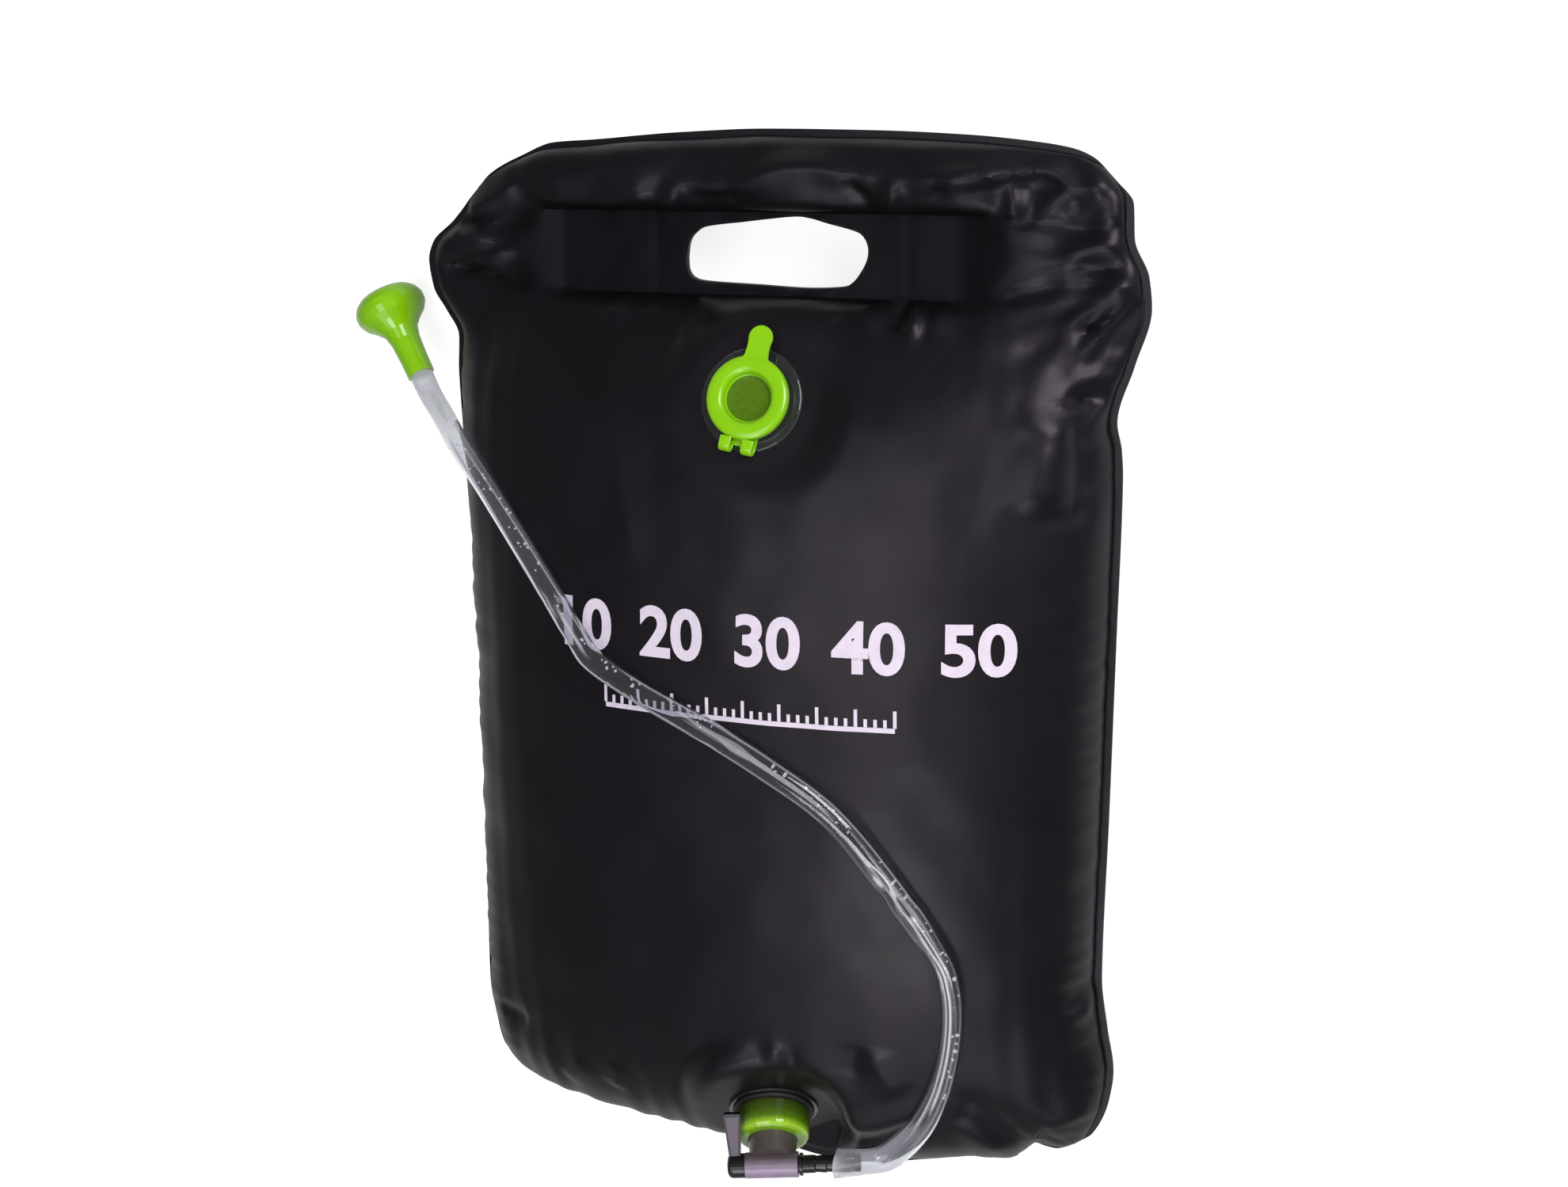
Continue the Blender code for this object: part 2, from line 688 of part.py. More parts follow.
def make_outlet_spout():
    bore = spout_radius - spout_wall
    profile = ((bore, -spigot_drop), (spout_radius, -spigot_drop),
               (spout_radius, spout_rise), (bore, spout_rise))
    placed("outlet_spout", turned_mesh("outlet_spout", profile), clear_disc, outlet_frame)


def make_tap_nut():
    inner = spout_radius + fit_gap
    hole = body_neck_radius + fit_gap
    profile = ((inner, nut_low), (nut_radius, nut_low), (nut_radius, nut_top), (hole, nut_top),
               (hole, nut_top - nut_cover), (inner, nut_top - nut_cover))
    profile = rounded(profile, {2: nut_round}, 4)
    placed("tap_nut", turned_mesh("tap_nut", profile), green_plastic, outlet_frame)


def make_tap_body():
    top = barrel_height - barrel_radius * body_shoulder_share
    neck_top_radius = body_neck_radius - body_neck_taper
    profile = (
        (0, body_collar_low), (body_collar_radius, body_collar_low),
        (body_collar_radius, body_collar_low + body_collar_wall),
        (body_neck_radius, body_collar_low + body_collar_wall),
        (body_neck_radius, nut_top), (neck_top_radius, top), (0, top),
    )
    body = placed("tap_body", turned_mesh("tap_body", profile), milky_plastic, outlet_frame)
    barrel = cutter("tap_barrel", turned_mesh("tap_barrel", (
        (0, -barrel_half), (barrel_radius, -barrel_half), (barrel_radius, barrel_half),
        (0, barrel_half))), outlet_frame, (0, 0, barrel_height), along_barrel)
    combine(body, barrel, "UNION")
    bore = round_cutter("tap_barrel_bore", barrel_bore_radius, -barrel_half - cut_overrun,
                        barrel_half + cut_overrun, outlet_frame, (0, 0, barrel_height),
                        along_barrel)
    combine(body, bore, "DIFFERENCE")
    inlet = round_cutter("tap_inlet", body_bore_radius, body_collar_low - cut_overrun,
                         barrel_height - barrel_bore_radius / 3, outlet_frame,
                         rotation=(0, 0, facet_turn), sides=small_sides)
    combine(body, inlet, "DIFFERENCE")
    return body


def spindle_profile():
    # From the hub's closed end on the left to the barb's mouth on the right, then up the bore.
    shaft = barrel_bore_radius - fit_gap
    hub_start = -(barrel_half + fit_gap + hub_length)
    hub_end = -(barrel_half + fit_gap)
    seal = barrel_half * seal_share
    groove_half = seal_wire + seal_squeeze
    groove = barrel_bore_radius - seal_squeeze * 2 - seal_wire * 2
    profile = [(0, hub_start), (hub_radius, hub_start), (hub_radius, hub_end), (shaft, hub_end)]
    profile = rounded(profile, {1: hub_round}, 4)
    for middle in (-seal, seal):
        profile += [(shaft, middle - groove_half), (groove, middle - groove_half),
                    (groove, middle + groove_half), (shaft, middle + groove_half)]
    clip_start = barrel_half + clip_groove_start
    clip_end = clip_start + clip_groove_width
    clip_floor = shaft - clip_groove_depth
    profile += [(shaft, clip_start), (clip_floor, clip_start), (clip_floor, clip_end),
                (shaft, clip_end)]
    barb_end = barrel_half + barb_length
    pitch = (barb_end - clip_end) / (barb_ridges + 1)
    for i in range(barb_ridges):
        ridge = clip_end + pitch * (i + 1)
        profile += [(shaft, ridge), (barb_root, ridge + barb_lip_radius)]
    profile += [(barb_root, barb_end), (spindle_bore_radius, barb_end),
                (spindle_bore_radius, -spindle_bore_radius * 1.5), (0, -spindle_bore_radius * 1.5)]
    return profile


def make_spindle():
    spindle = placed("tap_spindle", turned_mesh("tap_spindle", spindle_profile(), 24),
                     black_plastic, outlet_frame, (0, 0, barrel_height), along_barrel)
    port = round_cutter("spindle_port", spindle_port_radius, spindle_bore_radius / 3,
                        barrel_bore_radius + cut_overrun, outlet_frame, (0, 0, barrel_height),
                        (math.pi / 2, facet_turn, 0), small_sides)
    combine(spindle, port, "DIFFERENCE")
    root = lever_root_width / 2
    tip = lever_tip_width / 2
    middle = -(barrel_half + fit_gap + hub_length * 0.55)
    start = hub_radius / 3
    outline = ((middle - root, start), (middle + root, start), (middle + tip, lever_length),
               (middle - tip, lever_length))
    outline = rounded(outline, {2: lever_round, 3: lever_round}, 2)
    lever = cutter("tap_lever", prism_mesh("tap_lever", outline, -lever_wall / 2, lever_wall / 2),
                   outlet_frame, (0, 0, barrel_height), (-lever_lean, 0, 0))
    combine(spindle, lever, "UNION")
    return spindle


def make_ring(name, ring_radius, wire, look, frame, location, rotation, wire_sides, sides):
    profile = [(ring_radius + wire * math.cos(2 * math.pi * i / wire_sides),
                wire * math.sin(2 * math.pi * i / wire_sides)) for i in range(wire_sides)]
    return placed(name, turned_mesh(name, profile, sides), look, frame, location, rotation)


def make_tap():
    flange_ring("outlet_flange", spout_radius + fit_gap, outlet_flange_radius, fit_gap,
                outlet_flange_wall, clear_disc, outlet_frame)
    make_outlet_spout()
    flange_ring("tap_gasket", spout_radius + fit_gap, gasket_radius, gasket_low, gasket_wall,
                black_rubber, outlet_frame)
    make_tap_nut()
    make_tap_body()
    make_spindle()
    seal_radius = barrel_bore_radius - seal_squeeze - seal_wire
    for name, side in (("spindle_seal_left", -1), ("spindle_seal_right", 1)):
        place = (side * barrel_half * seal_share, 0, barrel_height)
        make_ring(name, seal_radius, seal_wire, black_rubber, outlet_frame, place, along_barrel,
                  6, small_sides)
    clip_low = barrel_half + clip_groove_start + fit_gap
    clip_high = barrel_half + clip_groove_start + clip_groove_width - fit_gap
    clip_inner = barrel_bore_radius - fit_gap - clip_groove_depth + fit_gap
    profile = ((clip_inner, clip_low), (clip_radius, clip_low), (clip_radius, clip_high),
               (clip_inner, clip_high))
    placed("spindle_clip", turned_mesh("spindle_clip", profile, 24), black_plastic, outlet_frame,
           (0, 0, barrel_height), along_barrel)


# Hose and shower head

cuff_end = barrel_half + barb_length + fit_gap
cuff_start = cuff_end - cuff_length


def make_hose_cuff():
    outer = hose_radius
    inner = hose_radius - hose_wall
    profile = ((inner, cuff_end), (outer, cuff_end), (outer, cuff_start + cuff_length / 3),
               (outer + cuff_mouth_flare, cuff_start), (inner + cuff_mouth_flare, cuff_start),
               (inner, cuff_start + cuff_length / 3))
    placed("hose_cuff", turned_mesh("hose_cuff", profile, 24), clear_tube, outlet_frame,
           (0, 0, barrel_height), along_barrel)


def smooth_route(points, step):
    # Catmull-Rom through the points in even steps, its first and last stretches left straight.
    fine = []
    for a, b, c, d in zip(points, points[1:], points[2:], points[3:]):
        for k in range(curve_samples):
            t = k / curve_samples
            fine.append((b * 2 + (c - a) * t + (a * 2 - b * 5 + c * 4 - d) * t * t
                         + (b * 3 - a - c * 3 + d) * t * t * t) / 2)
    fine.append(points[-2])
    lengths = np.cumsum([0] + [(q - p).length for p, q in zip(fine, fine[1:])])
    wanted = np.linspace(0, lengths[-1], round(lengths[-1] / step) + 1)
    coordinates = np.array(fine)
    even = [Vector([np.interp(w, lengths, coordinates[:, k]) for k in range(3)]) for w in wanted]
    return [points[0], *even, points[-1]]


def make_hose(neck_end, head_axis):
    barrel_axis = outlet_seat.matrix.to_3x3() @ Vector((1, 0, 0))
    start = outlet_seat.matrix @ Vector((cuff_end + fit_gap, 0, barrel_height))
    finish = neck_end + head_axis * (head_socket_depth - fit_gap)
    lead = hose_radius * 2
    over_bag = [Vector((ear_half_width * across_share, half_length * along_share,
                        seam_height + front_rise * rise_share))
                for across_share, along_share, rise_share in hose_route_shares]
    points = [start, start + barrel_axis * lead, *over_bag, neck_end - head_axis * lead, finish]
    route = smooth_route(points, hose_step)
    curve = bpy.data.curves.new("hose", "CURVE")
    curve.dimensions = "3D"
    curve.bevel_depth = hose_radius
    curve.bevel_resolution = 2
    curve.use_fill_caps = True
    line = curve.splines.new("POLY")
    line.points.add(len(route) - 1)
    for point, place in zip(line.points, route):
        point.co = (*place, 1)
    placed("hose", curve, clear_tube)
    print("hose length", round(sum((q - p).length for p, q in zip(route, route[1:])), 4))


def make_head(neck_end, head_axis):
    turn = head_axis.to_track_quat("Z", "Y").to_matrix().to_4x4()
    frame = frame_at("head_frame", Matrix.Translation(neck_end) @ turn)
    socket = hose_radius + fit_gap
    bore = socket - head_wall
    outside = [(radius * head_radius, place * head_length) for place, radius in head_outline_shares]
    lip = (rose_radius + fit_gap, outside[-1][1])
    inside = [(rose_radius + fit_gap, lip[1] - rose_wall - fit_gap),
              (rose_radius - head_wall, lip[1] - rose_wall - fit_gap),
              (rose_radius - head_wall, head_length * head_outline_shares[-4][0]),
              (bore, head_length * head_outline_shares[3][0]), (bore, head_socket_depth),
              (socket, head_socket_depth), (socket, 0), (head_neck_radius, 0)]
    profile = outside + [lip] + inside
    placed("shower_head", turned_mesh("shower_head", profile), green_plastic, frame)
    low = lip[1] - rose_wall
    rose_profile = [(0, low), (rose_radius, low), (rose_radius, low + rose_wall),
                    (rose_radius * 0.6, low + rose_wall + rose_bulge * 0.64),
                    (0, low + rose_wall + rose_bulge)]
    rose = placed("rose_plate", turned_mesh("rose_plate", rose_profile, 24), green_plastic, frame)
    for ring, count in enumerate(rose_holes):
        for i in range(count):
            angle = 2 * math.pi * i / count + facet_turn
            place = (ring * rose_hole_pitch * math.cos(angle),
                     ring * rose_hole_pitch * math.sin(angle), 0)
            hole = round_cutter(f"rose_hole_{ring}_{i}", rose_hole_radius, low - cut_overrun,
                                low + cut_overrun, frame, place, (0, 0, facet_turn), 6)
            combine(rose, hole, "DIFFERENCE")


def main():
    make_bag()
    make_filler()
    make_tap()
    make_hose_cuff()
    neck_end = Vector((neck_x_share * ear_half_width, neck_y_share * half_length, neck_height))
    head_axis = Vector((math.cos(head_dip) * math.cos(head_heading),
                        math.cos(head_dip) * math.sin(head_heading), -math.sin(head_dip)))
    make_hose(neck_end, head_axis)
    make_head(neck_end, head_axis)


main()
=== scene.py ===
import math

import bmesh
import bpy
import numpy as np
from mathutils import Matrix, Vector
from mathutils.bvhtree import BVHTree


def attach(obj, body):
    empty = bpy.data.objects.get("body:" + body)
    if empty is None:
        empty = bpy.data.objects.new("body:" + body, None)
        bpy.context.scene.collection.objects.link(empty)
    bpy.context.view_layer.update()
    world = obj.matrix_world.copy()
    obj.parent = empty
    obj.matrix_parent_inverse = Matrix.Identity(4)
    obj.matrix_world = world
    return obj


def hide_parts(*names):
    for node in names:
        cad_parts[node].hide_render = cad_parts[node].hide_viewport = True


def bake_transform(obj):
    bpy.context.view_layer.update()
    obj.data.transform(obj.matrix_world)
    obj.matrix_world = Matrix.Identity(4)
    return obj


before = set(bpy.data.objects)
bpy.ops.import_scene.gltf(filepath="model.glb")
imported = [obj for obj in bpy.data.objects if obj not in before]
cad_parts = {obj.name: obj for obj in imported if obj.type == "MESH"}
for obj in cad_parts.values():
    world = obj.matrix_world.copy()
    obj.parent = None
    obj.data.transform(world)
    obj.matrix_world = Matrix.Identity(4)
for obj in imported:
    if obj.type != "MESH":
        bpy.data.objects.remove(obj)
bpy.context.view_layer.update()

mm = 0.001
scene = bpy.context.scene
scene.view_settings.view_transform = "Standard"


def addObject(name, data):
    made = bpy.data.objects.new(name, data)
    scene.collection.objects.link(made)
    return made


# Camera

cameraValues = {
    "place": (0.4442, 0.3490, 1.1625),
    "right": (0.93119, -0.01812, -0.36407),
    "up": (-0.07478, 0.96803, -0.23944),
    "back": (0.35677, 0.25019, 0.90006),
    "focalPixels": 2908.0,
    "imageWidth": 1980.0,
    "sensorWidth": 36.0,
    "nearest": 0.02,
    "farthest": 50.0,
}


def makeCamera(values):
    data = bpy.data.cameras.new("camera")
    data.sensor_fit = "HORIZONTAL"
    data.sensor_width = values["sensorWidth"]
    data.lens = values["focalPixels"] / values["imageWidth"] * values["sensorWidth"]
    data.clip_start = values["nearest"]
    data.clip_end = values["farthest"]
    made = addObject("camera", data)
    axes = [Vector(values[key]).normalized() for key in ("right", "up", "back")]
    turn = Matrix(axes).transposed().to_4x4()
    made.matrix_world = Matrix.Translation(values["place"]) @ turn
    scene.camera = made


makeCamera(cameraValues)
print("camera placed")


# Colours and nodes

def linearColour(code):
    # An sRGB hex code as the linear colour that Blender works in.
    parts = [int(code[i:i + 2], 16) / 255 for i in (1, 3, 5)]
    return (*[p / 12.92 if p <= 0.04045 else ((p + 0.055) / 1.055) ** 2.4 for p in parts], 1.0)


def addNode(tree, kind, links=None, **settings):
    # One node with its settings; links says which socket or value feeds which input.
    node = tree.nodes.new(kind)
    for key, value in settings.items():
        setattr(node, key, value)
    for key, value in (links or {}).items():
        if isinstance(value, bpy.types.NodeSocket):
            tree.links.new(value, node.inputs[key])
        else:
            node.inputs[key].default_value = value
    return node


def newMaterial(name):
    made = bpy.data.materials.new(name)
    made.use_nodes = True
    made.node_tree.nodes.clear()
    return made, made.node_tree


def finishMaterial(tree, shader):
    addNode(tree, "ShaderNodeOutputMaterial", {"Surface": shader.outputs[0]})


def perMetre(size):
    # A noise scale that repeats about once in this many metres.
    return 1.0 / size


def mottled(tree, size, detail, light, dark):
    # Two colours mixed in soft clouds of this size, and the clouds themselves.
    place = addNode(tree, "ShaderNodeTexCoord").outputs["Object"]
    clouds = addNode(tree, "ShaderNodeTexNoise", {
        "Vector": place, "Scale": perMetre(size), "Detail": detail}).outputs["Fac"]
    mixed = addNode(tree, "ShaderNodeMix", {
        0: clouds, 6: linearColour(dark), 7: linearColour(light)}, data_type="RGBA")
    return mixed.outputs[2], clouds


def grained(tree, size, depth, detail, under=None):
    # The relief of a grain of this size and depth, laid over the relief under it.
    place = addNode(tree, "ShaderNodeTexCoord").outputs["Object"]
    grain = addNode(tree, "ShaderNodeTexNoise", {
        "Vector": place, "Scale": perMetre(size), "Detail": detail})
    links = {"Height": grain.outputs["Fac"], "Distance": depth, "Strength": 1.0}
    if under:
        links["Normal"] = under
    return addNode(tree, "ShaderNodeBump", links).outputs["Normal"]


def paintNode(name, *finishes):
    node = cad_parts[name]
    node.data.materials.clear()
    for finish in finishes:
        node.data.materials.append(finish)
    return node


# Black PVC sheet, calendered and heat welded: satin, faintly plum in its highlights, with a fine
# pebble from the rollers and soft cloudy patches where it has been handled. The welded band round
# the hand hole, marked by the attribute "weld", is duller.
blackSheetValues = {
    "light": "#0e0d10",
    "dark": "#09080a",
    "tint": "#f1e6f6",
    "clouds": 55 * mm,
    "cloudRange": (0.3, 0.7),
    "roughness": (0.40, 0.53),      # at the low and at the high end of the clouds
    "shine": (0.25, 0.12),          # on the open sheet and on the weld
    "gloss": (0.13, 0.01),          # the same for the coat
    "glossRoughness": 0.23,
    "pebble": 0.7 * mm,
    "pebbleDepth": 0.012 * mm,
    "ripple": 9 * mm,
    "rippleDepth": 0.10 * mm,
    "ior": 1.53,
}


def makeBlackSheet(values):
    made, tree = newMaterial("calenderedBlackPvc")
    colour, clouds = mottled(tree, values["clouds"], 3.0, values["light"], values["dark"])
    rough = addNode(tree, "ShaderNodeMapRange", {
        "Value": clouds, "From Min": values["cloudRange"][0], "From Max": values["cloudRange"][1],
        "To Min": values["roughness"][0], "To Max": values["roughness"][1]})
    pebble = grained(tree, values["pebble"], values["pebbleDepth"], 1.0)
    relief = grained(tree, values["ripple"], values["rippleDepth"], 2.0, pebble)
    weld = addNode(tree, "ShaderNodeAttribute", attribute_name="weld").outputs["Fac"]
    shine, gloss = [addNode(tree, "ShaderNodeMapRange", {
        "Value": weld, "To Min": values[key][0], "To Max": values[key][1]}).outputs["Result"]
        for key in ("shine", "gloss")]
    finishMaterial(tree, addNode(tree, "ShaderNodeBsdfPrincipled", {
        "Base Color": colour, "Roughness": rough.outputs["Result"], "IOR": values["ior"],
        "Specular IOR Level": shine, "Specular Tint": linearColour(values["tint"]),
        "Normal": relief, "Coat Weight": gloss, "Coat Roughness": values["glossRoughness"],
        "Coat IOR": values["ior"], "Coat Normal": relief}))
    return made


# Lime polyethylene, injection moulded: glossy and a little waxy, so light soaks in at thin edges.
limeValues = {
    "colour": "#94d80c",
    "shade": "#88cc08",
    "clouds": 14 * mm,
    "roughness": 0.18,
    "shine": 0.62,
    "wax": 0.12,
    "waxSpread": (1.0, 1.0, 0.25),
    "waxDepth": 1.2 * mm,
    "skin": 1.1 * mm,
    "skinDepth": 0.010 * mm,
    "ior": 1.51,
}
# The cap's well floor, thin moulded polyethylene: a darker, mottled olive, painted shade in the
# recessed well.
wellShadeValues = dict(limeValues, colour="#5e850f", shade="#446509", clouds=2.5 * mm, roughness=0.35,
                  shine=0.25)


def makeLime(name, values):
    made, tree = newMaterial(name)
    colour, _ = mottled(tree, values["clouds"], 2.0, values["colour"], values["shade"])
    finishMaterial(tree, addNode(tree, "ShaderNodeBsdfPrincipled", {
        "Base Color": colour, "Roughness": values["roughness"], "IOR": values["ior"],
        "Specular IOR Level": values["shine"], "Subsurface Weight": values["wax"],
        "Subsurface Radius": values["waxSpread"], "Subsurface Scale": values["waxDepth"],
        "Normal": grained(tree, values["skin"], values["skinDepth"], 1.0)}))
    return made


# Union nut, see-through lime polypropylene over a dark thread. Its colour goes by the height above
# the sheet and paints its light: a dark olive painted shade low down, a painted highlight on its
# rounded shoulder.
nutPaintedLightValues = {
    # height above the sheet in mm and colour there, from the painted shade to the painted highlight
    "bands": ((3, "#2c3a0b"), (9, "#466012"), (13.5, "#5f8a10"), (16, "#9bd322"), (18, "#b4e83c"),
              (19.5, "#7fb51a")),
    "dull": "#33450c",
    "dullShare": 0.35,
    "streaks": 5 * mm,
    "roughness": 0.16,
    "shine": 0.8,
    "ior": 1.49,
}


def makeNutWithPaintedLight(values):
    made, tree = newMaterial("seeThroughLimePolypropylenePaintedLight")
    rise = addNode(tree, "ShaderNodeAttribute", attribute_name="rise")
    low, high = values["bands"][0][0], values["bands"][-1][0]
    share = addNode(tree, "ShaderNodeMapRange", {
        "Value": rise.outputs["Fac"], "From Min": low, "From Max": high})
    # The ramp paints light by height: shade low on the wall, a highlight on the rounded shoulder.
    ramp = addNode(tree, "ShaderNodeValToRGB", {"Fac": share.outputs["Result"]})
    stops = ramp.color_ramp.elements
    while len(stops) < len(values["bands"]):
        stops.new(0.5)
    for stop, (height, colour) in zip(stops, values["bands"]):
        stop.position = (height - low) / (high - low)
        stop.color = linearColour(colour)
    place = addNode(tree, "ShaderNodeTexCoord").outputs["Object"]
    streaks = addNode(tree, "ShaderNodeTexNoise", {
        "Vector": place, "Scale": perMetre(values["streaks"]), "Detail": 2.0})
    dulled = addNode(tree, "ShaderNodeMix", {
        0: streaks.outputs["Fac"], 6: ramp.outputs["Color"], 7: linearColour(values["dull"])},
        data_type="RGBA")
    patchy = addNode(tree, "ShaderNodeMix", {
        0: values["dullShare"], 6: ramp.outputs["Color"], 7: dulled.outputs[2]}, data_type="RGBA")
    finishMaterial(tree, addNode(tree, "ShaderNodeBsdfPrincipled", {
        "Base Color": patchy.outputs[2], "Roughness": values["roughness"], "IOR": values["ior"],
        "Specular IOR Level": values["shine"]}))
    return made


# Clear soft PVC, extruded or moulded: see-through with bright rims and a slight milky haze. On the
# hose the haze goes by the attribute "milk": a slight milkiness, and white lines along its edges
# and creases that are painted highlights.
clearValues = {
    "glass": "#e9ebee",
    "haze": "#ebe9ee",
    "hazeShare": None,              # a number, or None for the attribute "milk"
    "hazeFront": 0.65,              # how much of the haze is lit from the viewer's side
    "shadow": "#d8dbdc",
    "roughness": 0.04,
    "shine": 0.5,
    "streaks": 7 * mm,
    "streakDepth": 0.025 * mm,
    "ior": 1.5,
}


def makeClear(name, values):
    made, tree = newMaterial(name)
    body = addNode(tree, "ShaderNodeBsdfPrincipled", {
        "Base Color": linearColour(values["glass"]), "Transmission Weight": 1.0,
        "Roughness": values["roughness"], "IOR": values["ior"],
        "Specular IOR Level": values["shine"],
        "Normal": grained(tree, values["streaks"], values["streakDepth"], 2.0)})
    behind = addNode(tree, "ShaderNodeBsdfTranslucent", {"Color": linearColour(values["haze"])})
    before = addNode(tree, "ShaderNodeBsdfDiffuse", {"Color": linearColour(values["haze"])})
    haze = addNode(tree, "ShaderNodeMixShader", {
        0: values["hazeFront"], 1: behind.outputs[0], 2: before.outputs[0]})
    share = values["hazeShare"]
    if share is None:
        share = addNode(tree, "ShaderNodeAttribute", attribute_name="milk").outputs["Fac"]
    hazy = addNode(tree, "ShaderNodeMixShader", {0: share, 1: body.outputs[0], 2: haze.outputs[0]})
    through = addNode(tree, "ShaderNodeBsdfTransparent", {"Color": linearColour(values["shadow"])})
    path = addNode(tree, "ShaderNodeLightPath")
    finishMaterial(tree, addNode(tree, "ShaderNodeMixShader", {
        0: path.outputs["Is Shadow Ray"], 1: hazy.outputs[0], 2: through.outputs[0]}))
    return made


# Milky polypropylene, injection moulded: light passes but no shape is seen through it. The neck
# shows the dark inside as a brown grey, the barrel takes a lilac cast from its thin edges, and a
# painted shade turns the barrel grey from its top down toward the sheet below it.
milkyValues = {
    # light and dark of each part
    "neck": ("#5a544e", "#47433f"),
    "barrel": ("#ac9ab3", "#93839a"),
    # the foot's grey is painted shade on the barrel's underside
    "shadedFoot": ("#5f5558", "#4e4649"),
    "shadedFootRise": (33.0, 40.2),       # mm above the sheet over which the foot's colour ends
    "roughness": 0.28,
    "wax": 0.3,
    "waxSpread": (1.0, 0.9, 1.0),
    "waxDepth": 3 * mm,
    "clouds": 6 * mm,
    "ior": 1.49,
}


def makeMilky(name, values, part, shadedFoot=None):
    made, tree = newMaterial(name)
    colour, _ = mottled(tree, values["clouds"], 2.0, *values[part])
    # The barrel fades from lilac at its top to the foot's grey toward the sheet: a painted shade.
    if shadedFoot:
        rise = addNode(tree, "ShaderNodeAttribute", attribute_name="rise")
        share = addNode(tree, "ShaderNodeMapRange", {
            "Value": rise.outputs["Fac"], "From Min": values["shadedFootRise"][0],
            "From Max": values["shadedFootRise"][1]})
        low, _ = mottled(tree, values["clouds"], 2.0, *values[shadedFoot])
        colour = addNode(tree, "ShaderNodeMix", {
            0: share.outputs[0], 6: low, 7: colour}, data_type="RGBA").outputs[2]
    finishMaterial(tree, addNode(tree, "ShaderNodeBsdfPrincipled", {
        "Base Color": colour, "Roughness": values["roughness"], "IOR": values["ior"],
        "Subsurface Weight": values["wax"], "Subsurface Radius": values["waxSpread"],
        "Subsurface Scale": values["waxDepth"]}))
    return made


# Black acetal, injection moulded: dark, slippery and glossy, with a warm violet cast in the light.
blackPlasticValues = {"colour": "#161317", "roughness": 0.22, "ior": 1.48, "skin": 0.8 * mm,
                      "skinDepth": 0.01 * mm}
# The lever's broad face, black acetal, duller, with a painted sheen: a greyer patch stands in for
# the light it reflects. The patch, in shares of the lever's half width and length, widens toward
# the tip and stops short of the edges.
leverSheenValues = dict(blackPlasticValues, colour="#54495a", roughness=0.38, edge="#121013",
                   rootShare=0.30, tipShare=0.86, softShare=0.10, tipEnd=0.95, tipSoftShare=0.025)
# Black rubber, moulded: matt and slightly dusty.
rubberValues = {"colour": "#131214", "roughness": 0.62, "ior": 1.52, "skin": 0.5 * mm,
                "skinDepth": 0.02 * mm}


# Paints the lever face's sheen: grey in a patch that widens toward the tip, the lever's own black
# at the edges.
def paintLeverSheen(tree, values):
    side, along = [addNode(tree, "ShaderNodeAttribute", attribute_name=name).outputs["Fac"]
                   for name in ("leverSide", "leverAlong")]
    half = addNode(tree, "ShaderNodeMath", {
        0: along, 1: values["tipShare"] - values["rootShare"], 2: values["rootShare"]},
        operation="MULTIPLY_ADD")
    off = addNode(tree, "ShaderNodeMath", {0: side}, operation="ABSOLUTE")
    inside = addNode(tree, "ShaderNodeMath", {0: half.outputs[0], 1: off.outputs[0]},
                     operation="SUBTRACT")
    short = addNode(tree, "ShaderNodeMath", {0: values["tipEnd"], 1: along}, operation="SUBTRACT")
    across, ends = [addNode(tree, "ShaderNodeMapRange", {
        "Value": distance.outputs[0], "From Min": 0.0, "From Max": values[soft]}).outputs[0]
        for distance, soft in ((inside, "softShare"), (short, "tipSoftShare"))]
    sheenPatch = addNode(tree, "ShaderNodeMath", {0: across, 1: ends}, operation="MULTIPLY")
    return addNode(tree, "ShaderNodeMix", {
        0: sheenPatch.outputs[0], 6: linearColour(values["edge"]), 7: linearColour(values["colour"])},
        data_type="RGBA").outputs[2]


def makeDark(name, values, paint=None):
    made, tree = newMaterial(name)
    finishMaterial(tree, addNode(tree, "ShaderNodeBsdfPrincipled", {
        "Base Color": paint(tree, values) if paint else linearColour(values["colour"]),
        "Roughness": values["roughness"], "IOR": values["ior"],
        "Normal": grained(tree, values["skin"], values["skinDepth"], 2.0)}))
    return made


# White vinyl ink, screen printed: flat and chalky with a lilac cast, a little thinner in patches.
inkValues = {"colour": "#eee4f1", "thin": "#d9cfdf", "patches": 5 * mm, "roughness": 0.5,
             "ior": 1.5}


def makeInk(values):
    made, tree = newMaterial("screenPrintedInk")
    colour, _ = mottled(tree, values["patches"], 4.0, values["colour"], values["thin"])
    finishMaterial(tree, addNode(tree, "ShaderNodeBsdfPrincipled", {
        "Base Color": colour, "Roughness": values["roughness"], "IOR": values["ior"]}))
    return made


blackSheet = makeBlackSheet(blackSheetValues)
lime = makeLime("limePolyethylene", limeValues)
# The well floor's darker olive is painted shade.
wellFloorShade = makeLime("limePolyethylenePaintedWellShade", wellShadeValues)
